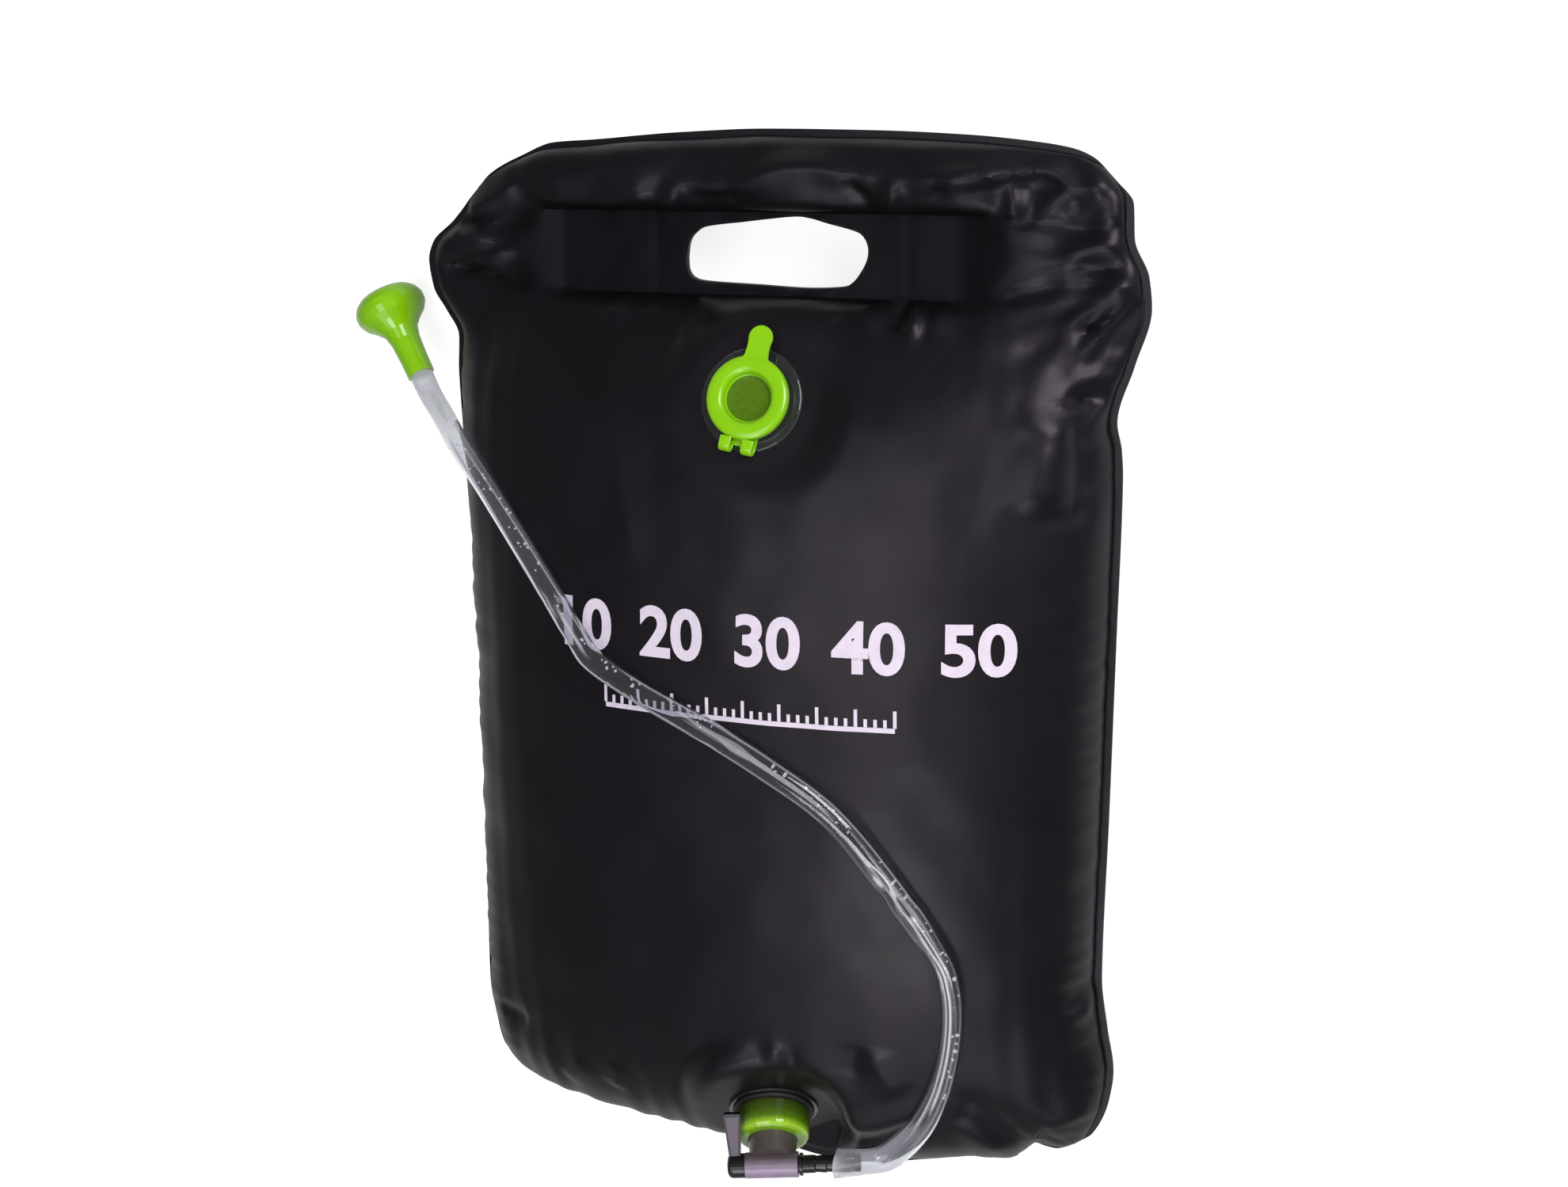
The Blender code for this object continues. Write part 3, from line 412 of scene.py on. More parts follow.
# The nut's colour paints its shade and its shoulder highlight.
nutLimePaintedLight = makeNutWithPaintedLight(nutPaintedLightValues)
clearHose = makeClear("clearSoftPvcHose", clearValues)
clearDisc, clearRim, outletDisc, outletRim, waterDrop = [
    makeClear(name, dict(clearValues, glass=glass, hazeShare=haze, roughness=rough, shine=shine))
    for name, glass, haze, rough, shine in (
        ("clearPvcDisc", "#b4c4b6", 0.02, 0.05, 0.5),
        ("clearPvcDiscRim", "#9aa89a", 0.10, 0.3, 0.5),
        ("clearPvcOutletDisc", "#7f8781", 0.01, 0.12, 0.2),
        ("clearPvcOutletRim", "#3e4440", 0.0, 0.70, 0.1),
        ("waterDroplet", "#ffffff", 0.80, 0.02, 0.5),
    )
]
milkyNeck = makeMilky("milkyPolypropyleneNeck", milkyValues, "neck")
# The barrel's grey foot is painted shade.
milkyBarrelShaded = makeMilky("milkyPolypropyleneBarrelPaintedShade", milkyValues, "barrel", "shadedFoot")
blackPlastic = makeDark("mouldedBlackAcetal", blackPlasticValues)
# The lever's broad face carries a painted sheen.
leverSheenBlack = makeDark("blackAcetalPaintedSheen", leverSheenValues, paintLeverSheen)
rubber = makeDark("mouldedBlackRubber", rubberValues)
ink = makeInk(inkValues)
print("materials made")


# Mesh helpers

def newObject(name, mesh, material, body, replaced=()):
    made = addObject(name, mesh)
    mesh.materials.append(material)
    if body is not None:
        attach(made, body)
    if replaced:
        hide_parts(*replaced)
    return made


def finishMesh(mesh, built, sharpAngle=None):
    # Puts a bmesh into the mesh and smooths it, sharp where faces meet at more than this angle.
    built.to_mesh(mesh)
    built.free()
    mesh.shade_smooth()
    if sharpAngle:
        mesh.set_sharp_from_angle(angle=math.radians(sharpAngle))
    return mesh


def solidMesh(name, points, faces, sharpAngle):
    mesh = bpy.data.meshes.new(name)
    mesh.from_pydata([tuple(p) for p in points], [], faces)
    built = bmesh.new()
    built.from_mesh(mesh)
    bmesh.ops.recalc_face_normals(built, faces=built.faces)
    return finishMesh(mesh, built, sharpAngle)


def tubeFaces(first, count, sides):
    # Quads from each ring of points to the next; the first point has the number first.
    faces = []
    for base in range(first, first + (count - 1) * sides, sides):
        for k in range(sides):
            j = (k + 1) % sides
            faces.append([base + k, base + j, base + sides + j, base + sides + k])
    return faces


def bridgeRings(built, rings):
    # The same between rings of a bmesh's points; gives the faces ring by ring.
    bands = []
    for low, high in zip(rings, rings[1:]):
        bands.append([built.faces.new((low[k], low[(k + 1) % len(low)], high[(k + 1) % len(low)],
                                       high[k])) for k in range(len(low))])
    return bands


def storeField(mesh, name, values):
    mesh.attributes.new(name, "FLOAT", "POINT").data.foreach_set("value", values)


def lengthsAlong(line):
    steps = np.linalg.norm(np.diff(line, axis=0), axis=1)
    return np.concatenate([[0], np.cumsum(steps)])


def evenOut(row, turns):
    # Averages each value with its neighbours, this many times, with the ends kept.
    for turn in range(turns):
        row[1:-1] = (row[:-2] + row[1:-1] * 2 + row[2:]) / 4


def smoothStep(share):
    share = np.clip(share, 0, 1)
    return share * share * (3 - 2 * share)


def waves(x, y, count, shortest, longest, seed):
    # Soft cloudy field from -1 to 1: a sum of plane waves with seeded directions and phases.
    chance = np.random.default_rng(seed)
    total = np.zeros_like(x)
    for i in range(count):
        angle = chance.uniform(0, math.tau)
        length = shortest * (longest / shortest) ** chance.uniform(0, 1)
        phase = chance.uniform(0, math.tau)
        total += np.cos((x * math.cos(angle) + y * math.sin(angle)) * math.tau / length + phase)
    return total / math.sqrt(count * 2)


# Bag: its sizes, outline and seats, where the sheet is flat under the valves' flanges

bagValues = {
    "halfLength": 283.5 * mm,
    "earHalfWidth": 200 * mm,
    "seamHeight": 52 * mm,
    "frontRise": 68 * mm,
    "backDrop": 74 * mm,
    "sheetWall": 1 * mm,
    "sheetGap": 0.3 * mm,
    "weldMargin": 4 * mm,
    # island: the flat band welded round the hand hole
    "islandLeft": -158 * mm,
    "islandRight": 147 * mm,
    "islandBottom": 200 * mm,
    "islandTop": 242.5 * mm,
    "islandSlope": 0.07,
    "bottomZone": -215 * mm,     # where the grid's even rows give way to the bottom's
    # how hard the sleeve over the hand hole and the ears beside it fill, next to the bag's 1
    "sleeveFullness": 3.4,
    "earFullness": 2.0,
    "earZone": 60 * mm,
    "earRound": 0.3,             # how much more gently the sheet rises beside the island
    "softEnd": 46 * mm,          # how far the island's ends run out into the ears
    "softTurns": 240,
    "leastRise": 14 * mm,
    "step": 2.3 * mm,
    # points of the grid from the weld inward, at a side, at the bottom and at the top
    "sideColumns": 15,
    "bottomRows": 28,
    "topRows": 19,
    "crowding": 1.6,             # how closely they crowd to the weld
    "solverTurns": 3000,
    "solverEnd": 1e-14,
    # reach of a seat's flat part and of its blend, in radii of its flange
    "flatReach": 1.25,
    "blendReach": 2.15,
}
# Outline of the bag: the sides as places up and across it, the ends as places across and up it,
# in shares of its half length and of its half width at the ears
leftSideShares = (
    (-0.924, -0.838), (-0.875, -0.902), (-0.820, -0.920), (-0.740, -0.936), (-0.550, -0.930),
    (-0.200, -0.918), (0.100, -0.915), (0.300, -0.923), (0.450, -0.930), (0.540, -0.932),
    (0.610, -0.926), (0.660, -0.962), (0.700, -0.996), (0.755, -1.007), (0.790, -0.990),
    (0.830, -0.925), (0.882, -0.857),
)
rightSideShares = (
    (-0.897, 0.845), (-0.872, 0.888), (-0.800, 0.930), (-0.740, 0.941), (-0.650, 0.922),
    (-0.550, 0.905), (-0.220, 0.917), (0.100, 0.927), (0.400, 0.936), (0.450, 0.932),
    (0.500, 0.919), (0.600, 0.960), (0.700, 1.000), (0.755, 0.992), (0.820, 0.954),
    (0.880, 0.950), (0.924, 0.900),
)
topEdgeShares = (
    (-0.857, 0.882), (-0.805, 0.920), (-0.705, 0.955), (-0.610, 0.979), (-0.500, 0.984),
    (-0.250, 0.998), (0.000, 1.005), (0.275, 1.003), (0.525, 0.996), (0.685, 0.986),
    (0.800, 0.973), (0.850, 0.958), (0.900, 0.924),
)
bottomEdgeShares = (
    (-0.838, -0.924), (-0.740, -0.952), (-0.640, -0.970), (-0.430, -0.987), (-0.230, -0.997),
    (0.000, -1.007), (0.120, -1.016), (0.250, -1.011), (0.430, -0.983), (0.560, -0.961),
    (0.640, -0.955), (0.672, -0.948), (0.690, -0.935), (0.706, -0.913), (0.722, -0.909),
    (0.755, -0.914), (0.785, -0.916), (0.812, -0.910), (0.845, -0.897),
)
# Seats: place of the middle, its height as a share of the front's full rise, tilt, lean and
# clock in degrees, radius of the flange
seatValues = {
    "filler": {"x": 5.5 * mm, "y": 152 * mm, "riseShare": 0.62, "tilt": 19, "lean": 4,
               "clock": -8, "flange": 26.8 * mm},
    "outlet": {"x": 3 * mm, "y": -247.5 * mm, "riseShare": 0.40, "tilt": -39, "lean": 19,
               "clock": -8, "flange": 25 * mm},
}


class Seat:
    def __init__(self, values, bag):
        tilt = math.radians(values["tilt"])
        lean = math.radians(values["lean"])
        self.normal = Vector((math.tan(lean), math.tan(tilt), 1)).normalized()
        rise = bag["seamHeight"] + bag["sheetGap"] / 2 + bag["frontRise"] * values["riseShare"]
        self.middle = Vector((values["x"], values["y"], rise))
        self.flatRadius = values["flange"] * bag["flatReach"]
        self.blendRadius = values["flange"] * bag["blendReach"]
        across = (Vector((1, 0, 0)) - self.normal * self.normal.x).normalized()
        upward = self.normal.cross(across)
        turn = Matrix((across, upward, self.normal)).transposed()
        turn = turn @ Matrix.Rotation(math.radians(values["clock"]), 3, "Z")
        self.matrix = Matrix.Translation(self.middle + self.normal * bag["sheetWall"])
        self.matrix = self.matrix @ turn.to_4x4()

    def height(self, x, y):
        slope = self.normal.xy / self.normal.z
        return self.middle.z - slope.x * (x - self.middle.x) - slope.y * (y - self.middle.y)

    def weight(self, x, y):
        distance = np.hypot(x - self.middle.x, y - self.middle.y)
        return smoothStep((self.blendRadius - distance) / (self.blendRadius - self.flatRadius))


fillerSeat = Seat(seatValues["filler"], bagValues)
outletSeat = Seat(seatValues["outlet"], bagValues)


# Outline and grid of the bag

def shareCurve(stations, step, scale):
    # Monotone cubic through the stations, for a whole array of places at once.
    places = np.array([s[0] for s in stations]) * step
    values = np.array([s[1] for s in stations]) * scale
    runs = np.diff(places)
    rates = np.diff(values) / runs
    slopes = np.zeros(len(places))
    slopes[0], slopes[-1] = rates[0], rates[-1]
    for i in range(1, len(places) - 1):
        if rates[i - 1] * rates[i] > 0:
            before = 2 * runs[i] + runs[i - 1]
            after = runs[i] + 2 * runs[i - 1]
            slopes[i] = (before + after) / (before / rates[i - 1] + after / rates[i])

    def valueAt(place):
        i = np.clip(np.searchsorted(places, place) - 1, 0, len(runs) - 1)
        t = np.clip((place - places[i]) / runs[i], 0, 1)
        return (values[i] * (1 + 2 * t) * (1 - t) ** 2 + values[i + 1] * t * t * (3 - 2 * t)
                + runs[i] * (slopes[i] * t * (1 - t) ** 2 - slopes[i + 1] * t * t * (1 - t)))

    return valueAt


leftSide = shareCurve(leftSideShares, bagValues["halfLength"], bagValues["earHalfWidth"])
rightSide = shareCurve(rightSideShares, bagValues["halfLength"], bagValues["earHalfWidth"])
topEdge = shareCurve(topEdgeShares, bagValues["earHalfWidth"], bagValues["halfLength"])
bottomEdge = shareCurve(bottomEdgeShares, bagValues["earHalfWidth"], bagValues["halfLength"])


def gradedShares(count, crowding):
    # Shares from 0 to just under 1 that crowd toward 0, where the sheet rises steeply.
    return (np.arange(count) / count) ** crowding


def rowAcross(left, right, inner, bag):
    weld = bag["weldMargin"]
    graded = gradedShares(bag["sideColumns"], bag["crowding"])
    fromLeft = left + weld + (inner[0] - left - weld) * graded
    fromRight = right - weld + (inner[-1] - right + weld) * graded
    return np.concatenate([[left, left + weld / 2], fromLeft, inner, fromRight[::-1],
                           [right - weld / 2, right]])


def endRows(inner, start, edge, corners, bag, count):
    weld = bag["weldMargin"]
    base = rowAcross(leftSide(start), rightSide(start), inner, bag)

    def columnsAt(share):
        left = leftSide(start + (corners[0] * bag["halfLength"] - start) * share)
        right = rightSide(start + (corners[1] * bag["halfLength"] - start) * share)
        scaled = np.where(base < 0, base * left / base[0], base * right / base[-1])
        scaled[1:3] = scaled[0] + np.array([weld / 2, weld])
        scaled[-3:-1] = scaled[-1] - np.array([weld, weld / 2])
        return scaled

    ends = edge(columnsAt(1))
    weldShare = 1 - weld / abs(edge(0) - start)
    graded = gradedShares(count, bag["crowding"])
    shares = [weldShare * (1 - s) for s in graded[::-1][:-1]]
    rows = []
    for share in (*shares, weldShare, (1 + weldShare) / 2, 1):
        rows.append(np.stack([columnsAt(share), start + (ends - start) * share], -1))
    return rows


def evenSteps(low, high, step):
    return np.linspace(low, high, round((high - low) / step) + 1)


def bagGrid(bag):
    inner = evenSteps(bag["islandLeft"], bag["islandRight"], bag["step"])
    heights = np.concatenate([
        evenSteps(bag["bottomZone"], bag["islandBottom"], bag["step"])[:-1],
        evenSteps(bag["islandBottom"], bag["islandTop"], bag["step"]),
    ])
    low = endRows(inner, bag["bottomZone"], bottomEdge,
                  (leftSideShares[0][0], rightSideShares[0][0]), bag, bag["bottomRows"])
    high = endRows(inner, bag["islandTop"], topEdge,
                   (leftSideShares[-1][0], rightSideShares[-1][0]), bag, bag["topRows"])
    middle = []
    for y in heights:
        xs = rowAcross(leftSide(y), rightSide(y), inner, bag)
        middle.append(np.stack([xs, np.full(len(xs), y)], -1))
    return np.array(low[::-1] + middle + high)


def setWeld(field, value):
    # The three outermost rows and columns of the grid lie in the weld round the bag.
    field[:3] = field[-3:] = value
    field[:, :3] = field[:, -3:] = value
    return field


def onIsland(grid, bag):
    x, y = grid[..., 0], grid[..., 1]
    hair = bag["sheetGap"] / 10
    return ((x > bag["islandLeft"] - hair) & (x < bag["islandRight"] + hair)
            & (y > bag["islandBottom"] - hair) & (y < bag["islandTop"] + hair))


def fullness(y, bag):
    beside = smoothStep((y - bag["islandBottom"]) / bag["earZone"] + 1)
    return np.where(y > bag["islandTop"], bag["sleeveFullness"],
                    1 + (bag["earFullness"] - 1) * beside)


def membraneLift(grid, bag):
    # Solves the membrane equation on the grid's triangles by conjugate gradients, then takes
    # the root, which stands up round and steep from the welds as a filled bag does.
    low, high = slice(0, -1), slice(1, None)
    corner = {"a": (low, low), "b": (low, high), "c": (high, high), "d": (high, low)}
    parts = []
    load = np.zeros(grid.shape[:2])
    for names in ("abc", "acd"):
        p = [grid[corner[n]] for n in names]
        first, second, third = p[2] - p[1], p[0] - p[2], p[1] - p[0]
        edges = [first, second, third]
        area = np.abs(first[..., 0] * second[..., 1] - first[..., 1] * second[..., 0]) / 2
        middle = (p[0] + p[1] + p[2]) / 3
        push = area * fullness(middle[..., 1], bag) / 3
        ties = [[(edges[i] * edges[j]).sum(-1) / (4 * area) for j in range(3)] for i in range(3)]
        for n in names:
            load[corner[n]] += push
        parts.append((names, ties))
    free = ~(setWeld(np.zeros(load.shape, bool), True) | onIsland(grid, bag))

    def pull(u):
        out = np.zeros_like(u)
        for names, ties in parts:
            at = [u[corner[n]] for n in names]
            for n, tie in zip(names, ties):
                out[corner[n]] += tie[0] * at[0] + tie[1] * at[1] + tie[2] * at[2]
        return out * free

    diagonal = np.zeros_like(load)
    for names, ties in parts:
        for i in range(3):
            diagonal[corner[names[i]]] += ties[i][i]
    lift = np.zeros_like(load)
    rest = load * free
    scaled = rest / diagonal
    way = scaled.copy()
    energy = (rest * scaled).sum()
    start = energy
    for turn in range(bag["solverTurns"]):
        bent = pull(way)
        stride = energy / (way * bent).sum()
        lift += stride * way
        rest -= stride * bent
        scaled = rest / diagonal
        following = (rest * scaled).sum()
        if following < start * bag["solverEnd"]:
            break
        way = scaled + way * (following / energy)
        energy = following
    main = grid[..., 1] < bag["islandBottom"]
    return np.sqrt(np.clip(lift / lift[main].max(), 0, None))


def smoothLine(points, step):
    # Catmull-Rom through the points, in even steps.
    ends = [points[0] * 2 - points[1], *points, points[-1] * 2 - points[-2]]
    pieces = 12
    fine = []
    for a, b, c, d in zip(ends, ends[1:], ends[2:], ends[3:]):
        for k in range(pieces):
            t = k / pieces
            fine.append((b * 2 + (c - a) * t + (a * 2 - b * 5 + c * 4 - d) * t * t
                         + (b * 3 - a - c * 3 + d) * t * t * t) / 2)
    fine = np.array([*fine, points[-1]])
    lengths = lengthsAlong(fine)
    wanted = np.linspace(0, lengths[-1], max(2, round(lengths[-1] / step) + 1))
    return np.stack([np.interp(wanted, lengths, fine[:, k]) for k in range(fine.shape[1])], -1)


# Folds of the front sheet: places across and up the bag in mm, half width in mm, height in mm.
# A height above zero is a raised fold, one below zero a crease.
frontFolds = (
    (((81, 203), (123, 203), (156, 207), (178, 213), (193, 214)), 5, -3.0),
    (((195, 212), (185, 208), (172, 199), (163, 188), (156, 177)), 5, 3.4),
    (((196, 210), (189, 204), (180, 194), (173, 181), (167, 172)), 5, 3.4),
    (((196, 211), (183, 203), (171, 192), (163, 178)), 5, -3.8),
    (((197, 208), (193, 192), (187, 173)), 8, -3.0),
    (((181, 150), (175, 156), (168, 156), (165, 151)), 7, -6.0),
    (((166, 152), (168, 139), (170, 118), (169, 89)), 9, -3.8),
    (((164, 151), (159, 139), (156, 122), (155, 97)), 18, 4.5),
    (((158, 151), (142, 134), (126, 108), (116, 79)), 16, -1.5),
    (((72, 260), (105, 262), (134, 265), (149, 266), (159, 258), (150, 248), (141, 237)), 5, 3.8),
    (((-54, 249), (-42, 258), (-20, 256), (-9, 258), (12, 265), (34, 266), (54, 261), (70, 258)),
     6, 3.0),
    (((-37, 238), (-24, 248), (-9, 256)), 5, -3.0),
    (((56, 240), (55, 251), (45, 262)), 5, -3.0),
    (((65, 240), (71, 252), (74, 260)), 5, 3.0),
    (((82, 240), (92, 251), (100, 260)), 5, -2.2),
    (((131, 239), (132, 251), (130, 260)), 5, 3.0),
    (((-56, 238), (-49, 249), (-42, 258)), 5, 3.0),
    (((-97, 239), (-77, 250), (-57, 253)), 7, 2.2),
    (((-177, 235), (-161, 245), (-138, 257)), 8, 3.8),
    (((-138, 257), (-133, 247), (-123, 237)), 7, -2.2),
    (((160, 254), (173, 258), (180, 255)), 8, 3.0),
    (((-198, 219), (-175, 222), (-161, 218), (-147, 220), (-144, 223)), 5, 3.8),
    (((-197, 210), (-170, 210), (-154, 207), (-123, 206)), 5, -3.8),
    (((-197, 215), (-175, 216), (-161, 212), (-151, 209)), 5, 3.0),
    (((-185, 233), (-170, 235), (-156, 236), (-141, 238), (-127, 239), (-113, 241)), 4, -2.6),
    (((118, 241), (134, 241), (150, 240), (166, 237), (182, 234)), 4, -2.6),
    (((112, 206), (126, 207), (142, 208), (160, 210), (180, 211), (196, 210)), 4, -2.6),
    (((-196, 222), (-183, 227), (-170, 229), (-158, 226), (-152, 221)), 4, 3.4),
    (((-196, 213), (-184, 213), (-172, 216), (-160, 214)), 4, -3.2),
    (((196, 209), (182, 212), (165, 211), (150, 205)), 5, 3.6),
    (((197, 206), (190, 196), (180, 183), (170, 165)), 5, -3.4),
    (((-186, 232), (-170, 227), (-157, 225)), 6, 3.0),
    (((154, 220), (170, 228), (189, 232)), 6, 3.0),
    (((160, 215), (175, 218), (191, 220)), 5, -3.0),
    (((81, 202), (82, 197), (84, 189), (83, 182)), 4, 3.9),
    (((73, 199), (73, 193), (76, 187)), 6, -2.2),
    (((96, 199), (95, 193), (92, 186)), 9, 2.2),
    (((57, 199), (57, 191), (55, 186)), 9, 2.2),
    (((40, 196), (39, 189)), 8, 1.8),
    (((-82, 200), (-80, 193), (-82, 186)), 8, 2.4),
    (((-58, 196), (-62, 193), (-63, 189)), 6, 1.8),
    (((-40, 198), (-31, 192), (-28, 188)), 7, 2.4),
    (((16, -193), (15, -205), (15, -217)), 5, 2.0),
    (((6, -199), (7, -210), (8, -219)), 5, -1.5),
    (((27, -200), (22, -210), (19, -218)), 5, -1.5),
    (((-13, -207), (-18, -219), (-22, -237)), 8, 1.5),
    (((30, -226), (31, -250), (31, -275)), 5, 2.0),
    (((31, -239), (37, -261), (56, -257), (76, -247), (95, -235), (107, -227)), 6, -2.5),
    (((37, -228), (50, -243), (64, -245), (83, -236), (100, -224)), 8, 2.0),
    (((83, -221), (77, -210), (71, -198), (70, -189)), 10, 2.0),
    (((57, -213), (60, -201), (64, -190)), 10, -1.5),
    (((142, -255), (135, -247), (122, -238), (106, -229)), 6, -2.2),
    (((132, -261), (124, -246), (110, -232)), 8, 1.5),
    (((167, -170), (172, -163), (177, -165)), 7, -3.0),
    (((167, -174), (173, -169), (180, -171)), 7, 2.0),
    (((147, -242), (138, -238), (121, -222), (110, -218)), 8, -2.5),
    (((153, -237), (170, -230), (181, -222)), 10, 2.0),
    (((-171, -216), (-158, -216), (-145, -216)), 7, -2.5),
    (((-126, -253), (-115, -242), (-107, -232)), 8, 1.5),
    (((-92, -249), (-88, -239), (-86, -229)), 8, 1.5),
    (((-68, 128), (-61, 96), (-55, 59)), 11, 1.2),
    (((-41, 190), (-36, 180), (-35, 169)), 8, 1.5),
)

foldValues = {
    "step": 3 * mm,
    "reach": 3,                 # how many half widths away a fold still shows
    "fadeShare": 0.25,          # share of its length over which either end fades
    "endShare": 0.15,           # share of its height at its very ends
    "crest": (1.35, 0.3, 1.15),     # how fast a fold falls off, its roundness and its height
    "dip": (0.30, 1.7, 0.8),        # the dip beside it: its depth, place and half width
    "crease": (1.4, 0.04, 1.25),    # how fast a crease falls off, its roundness and its depth
    "fanFade": 15,              # degrees over which a fan fades at its sides
    "fanWaver": (0.6, 7),       # how uneven a fan's folds are spaced, and how often that turns
    "fanStart": 3,              # how steeply a fan grows from its tip
    "fanStop": 2,               # and how steeply it ends at its reach
}


def foldField(x, y, folds, shape):
    # Sum of every fold's rise at these places, in metres.
    total = np.zeros_like(x)
    crestFall, crestRound, crestHeight = shape["crest"]
    dipDepth, dipPlace, dipWidth = shape["dip"]
    creaseFall, creaseRound, creaseDepth = shape["crease"]
    for points, width, height in folds:
        line = smoothLine([np.array(p, float) * mm for p in points], shape["step"])
        reach = width * mm * shape["reach"]
        near = (x > line[:, 0].min() - reach) & (x < line[:, 0].max() + reach)
        near &= (y > line[:, 1].min() - reach) & (y < line[:, 1].max() + reach)
        px, py = x[near], y[near]
        best = np.full(px.shape, np.inf)
        along = np.zeros(px.shape)
        count = len(line) - 1
        for i in range(count):
            start = line[i]
            run = line[i + 1] - start
            t = ((px - start[0]) * run[0] + (py - start[1]) * run[1]) / (run @ run)
            t = np.clip(t, 0, 1)
            distance = np.hypot(px - start[0] - run[0] * t, py - start[1] - run[1] * t)
            closer = distance < best
            best = np.where(closer, distance, best)
            along = np.where(closer, (i + t) / count, along)
        fade = smoothStep(along / shape["fadeShare"])
        fade = fade * smoothStep((1 - along) / shape["fadeShare"])
        fade = fade * (1 - shape["endShare"]) + shape["endShare"]
        away = best / (width * mm)
        if height > 0:
            rise = np.exp(-crestFall * (np.sqrt(away ** 2 + crestRound ** 2) - crestRound))
            rise = rise * crestHeight - dipDepth * np.exp(-((away - dipPlace) / dipWidth) ** 2)
        else:
            rise = np.exp(-creaseFall * np.sqrt(away ** 2 + creaseRound)) * creaseDepth
        total[near] += height * mm * rise * fade
    return total


# Fans of small folds that spread from the ears' tips and one corner: tip in mm, first and last
# direction in degrees, folds in a full turn, reach in mm, height in mm
foldFans = (
    ((199, 208), 150, 262, 21, 90, 0.50),
    ((-200, 214), -34, 32, 22, 58, 0.75),
    ((172, -262), 95, 165, 16, 60, 0.45),
)


def fanField(x, y, fans, shape):
    total = np.zeros_like(x)
    for tip, first, last, count, reach, height in fans:
        right, up = x - tip[0] * mm, y - tip[1] * mm
        away = np.hypot(right, up) / (reach * mm)
        turned = (np.degrees(np.arctan2(up, right)) - first) % 360
        inside = smoothStep(turned / shape["fanFade"])
        inside = inside * smoothStep((last - first - turned) / shape["fanFade"])
        waver, turns = shape["fanWaver"]
        phase = np.radians(turned) * count + waver * np.sin(np.radians(turned) * turns)
        total += (height * mm * np.cos(phase) * inside * smoothStep(away * shape["fanStart"])
                  * smoothStep((1 - away) * shape["fanStop"]))
    return total


def surfaceNormals(points):
    across = np.gradient(points, axis=1)
    upward = np.gradient(points, axis=0)
    normals = np.cross(across, upward)
    return normals / np.linalg.norm(normals, axis=-1, keepdims=True)


# Hose: where the cord runs

hoseValues = {
    "radius": 6.4 * mm,
    "wall": 0.9 * mm,
    "cuffStart": 36.4 * mm,      # along the barrel, past its middle
    "leadStart": 49.1 * mm,      # where it leaves the barb
    "barrelHeight": 34 * mm,
    "step": 2.5 * mm,
    "neckEnd": (-223.5 * mm, 146.0 * mm, 30.5 * mm),
    "headHeading": 123.5,
    "headDip": 13.2,
    "socketDepth": 8.7 * mm,
    "route": (
        (0.0700, -0.2640, 0.0895), (0.0818, -0.2535, 0.0925), (0.0935, -0.2385, 0.0955),
        (0.1022, -0.2215, 0.0985), (0.1085, -0.2035, 0.1015), (0.1130, -0.1840, 0.1045),
        (0.1152, -0.1645, 0.1075), (0.1145, -0.1480, 0.1095), (0.1095, -0.1310, 0.1120),
        (0.0875, -0.0960, 0.1185), (0.0567, -0.0562, 0.1250), (0.0193, -0.0311, 0.1280),
        (-0.0157, -0.0132, 0.1285), (-0.0474, 0.0007, 0.1268), (-0.0764, 0.0145, 0.1230),
        (-0.0865, 0.0240, 0.1205), (-0.1015, 0.0430, 0.1155),
        (-0.1230, 0.0700, 0.1085), (-0.1463, 0.0940, 0.0965), (-0.1630, 0.1085, 0.0865),
        (-0.1776, 0.1170, 0.0740), (-0.1924, 0.1245, 0.0583), (-0.2055, 0.1300, 0.0442),
    ),
}


def hoseCentreline(values):
    heading, dip = math.radians(values["headHeading"]), math.radians(values["headDip"])
    axis = np.array((math.cos(dip) * math.cos(heading), math.cos(dip) * math.sin(heading),
                     -math.sin(dip)))
    start, lead = values["cuffStart"], values["leadStart"]
    neck = np.array(values["neckEnd"])
    points = [np.array(outletSeat.matrix @ Vector((along, 0, values["barrelHeight"])))
              for along in (start, (start + lead) / 2, lead)]
    points += [np.array(p) for p in values["route"]]
    points += [neck - axis * (values["radius"] * 2), neck + axis * values["socketDepth"]]
    return smoothLine(points, values["step"])


hoseLine = hoseCentreline(hoseValues)
hoseLengths = lengthsAlong(hoseLine)
print("hose line length", round(float(hoseLengths[-1]), 4))


# Bag skin

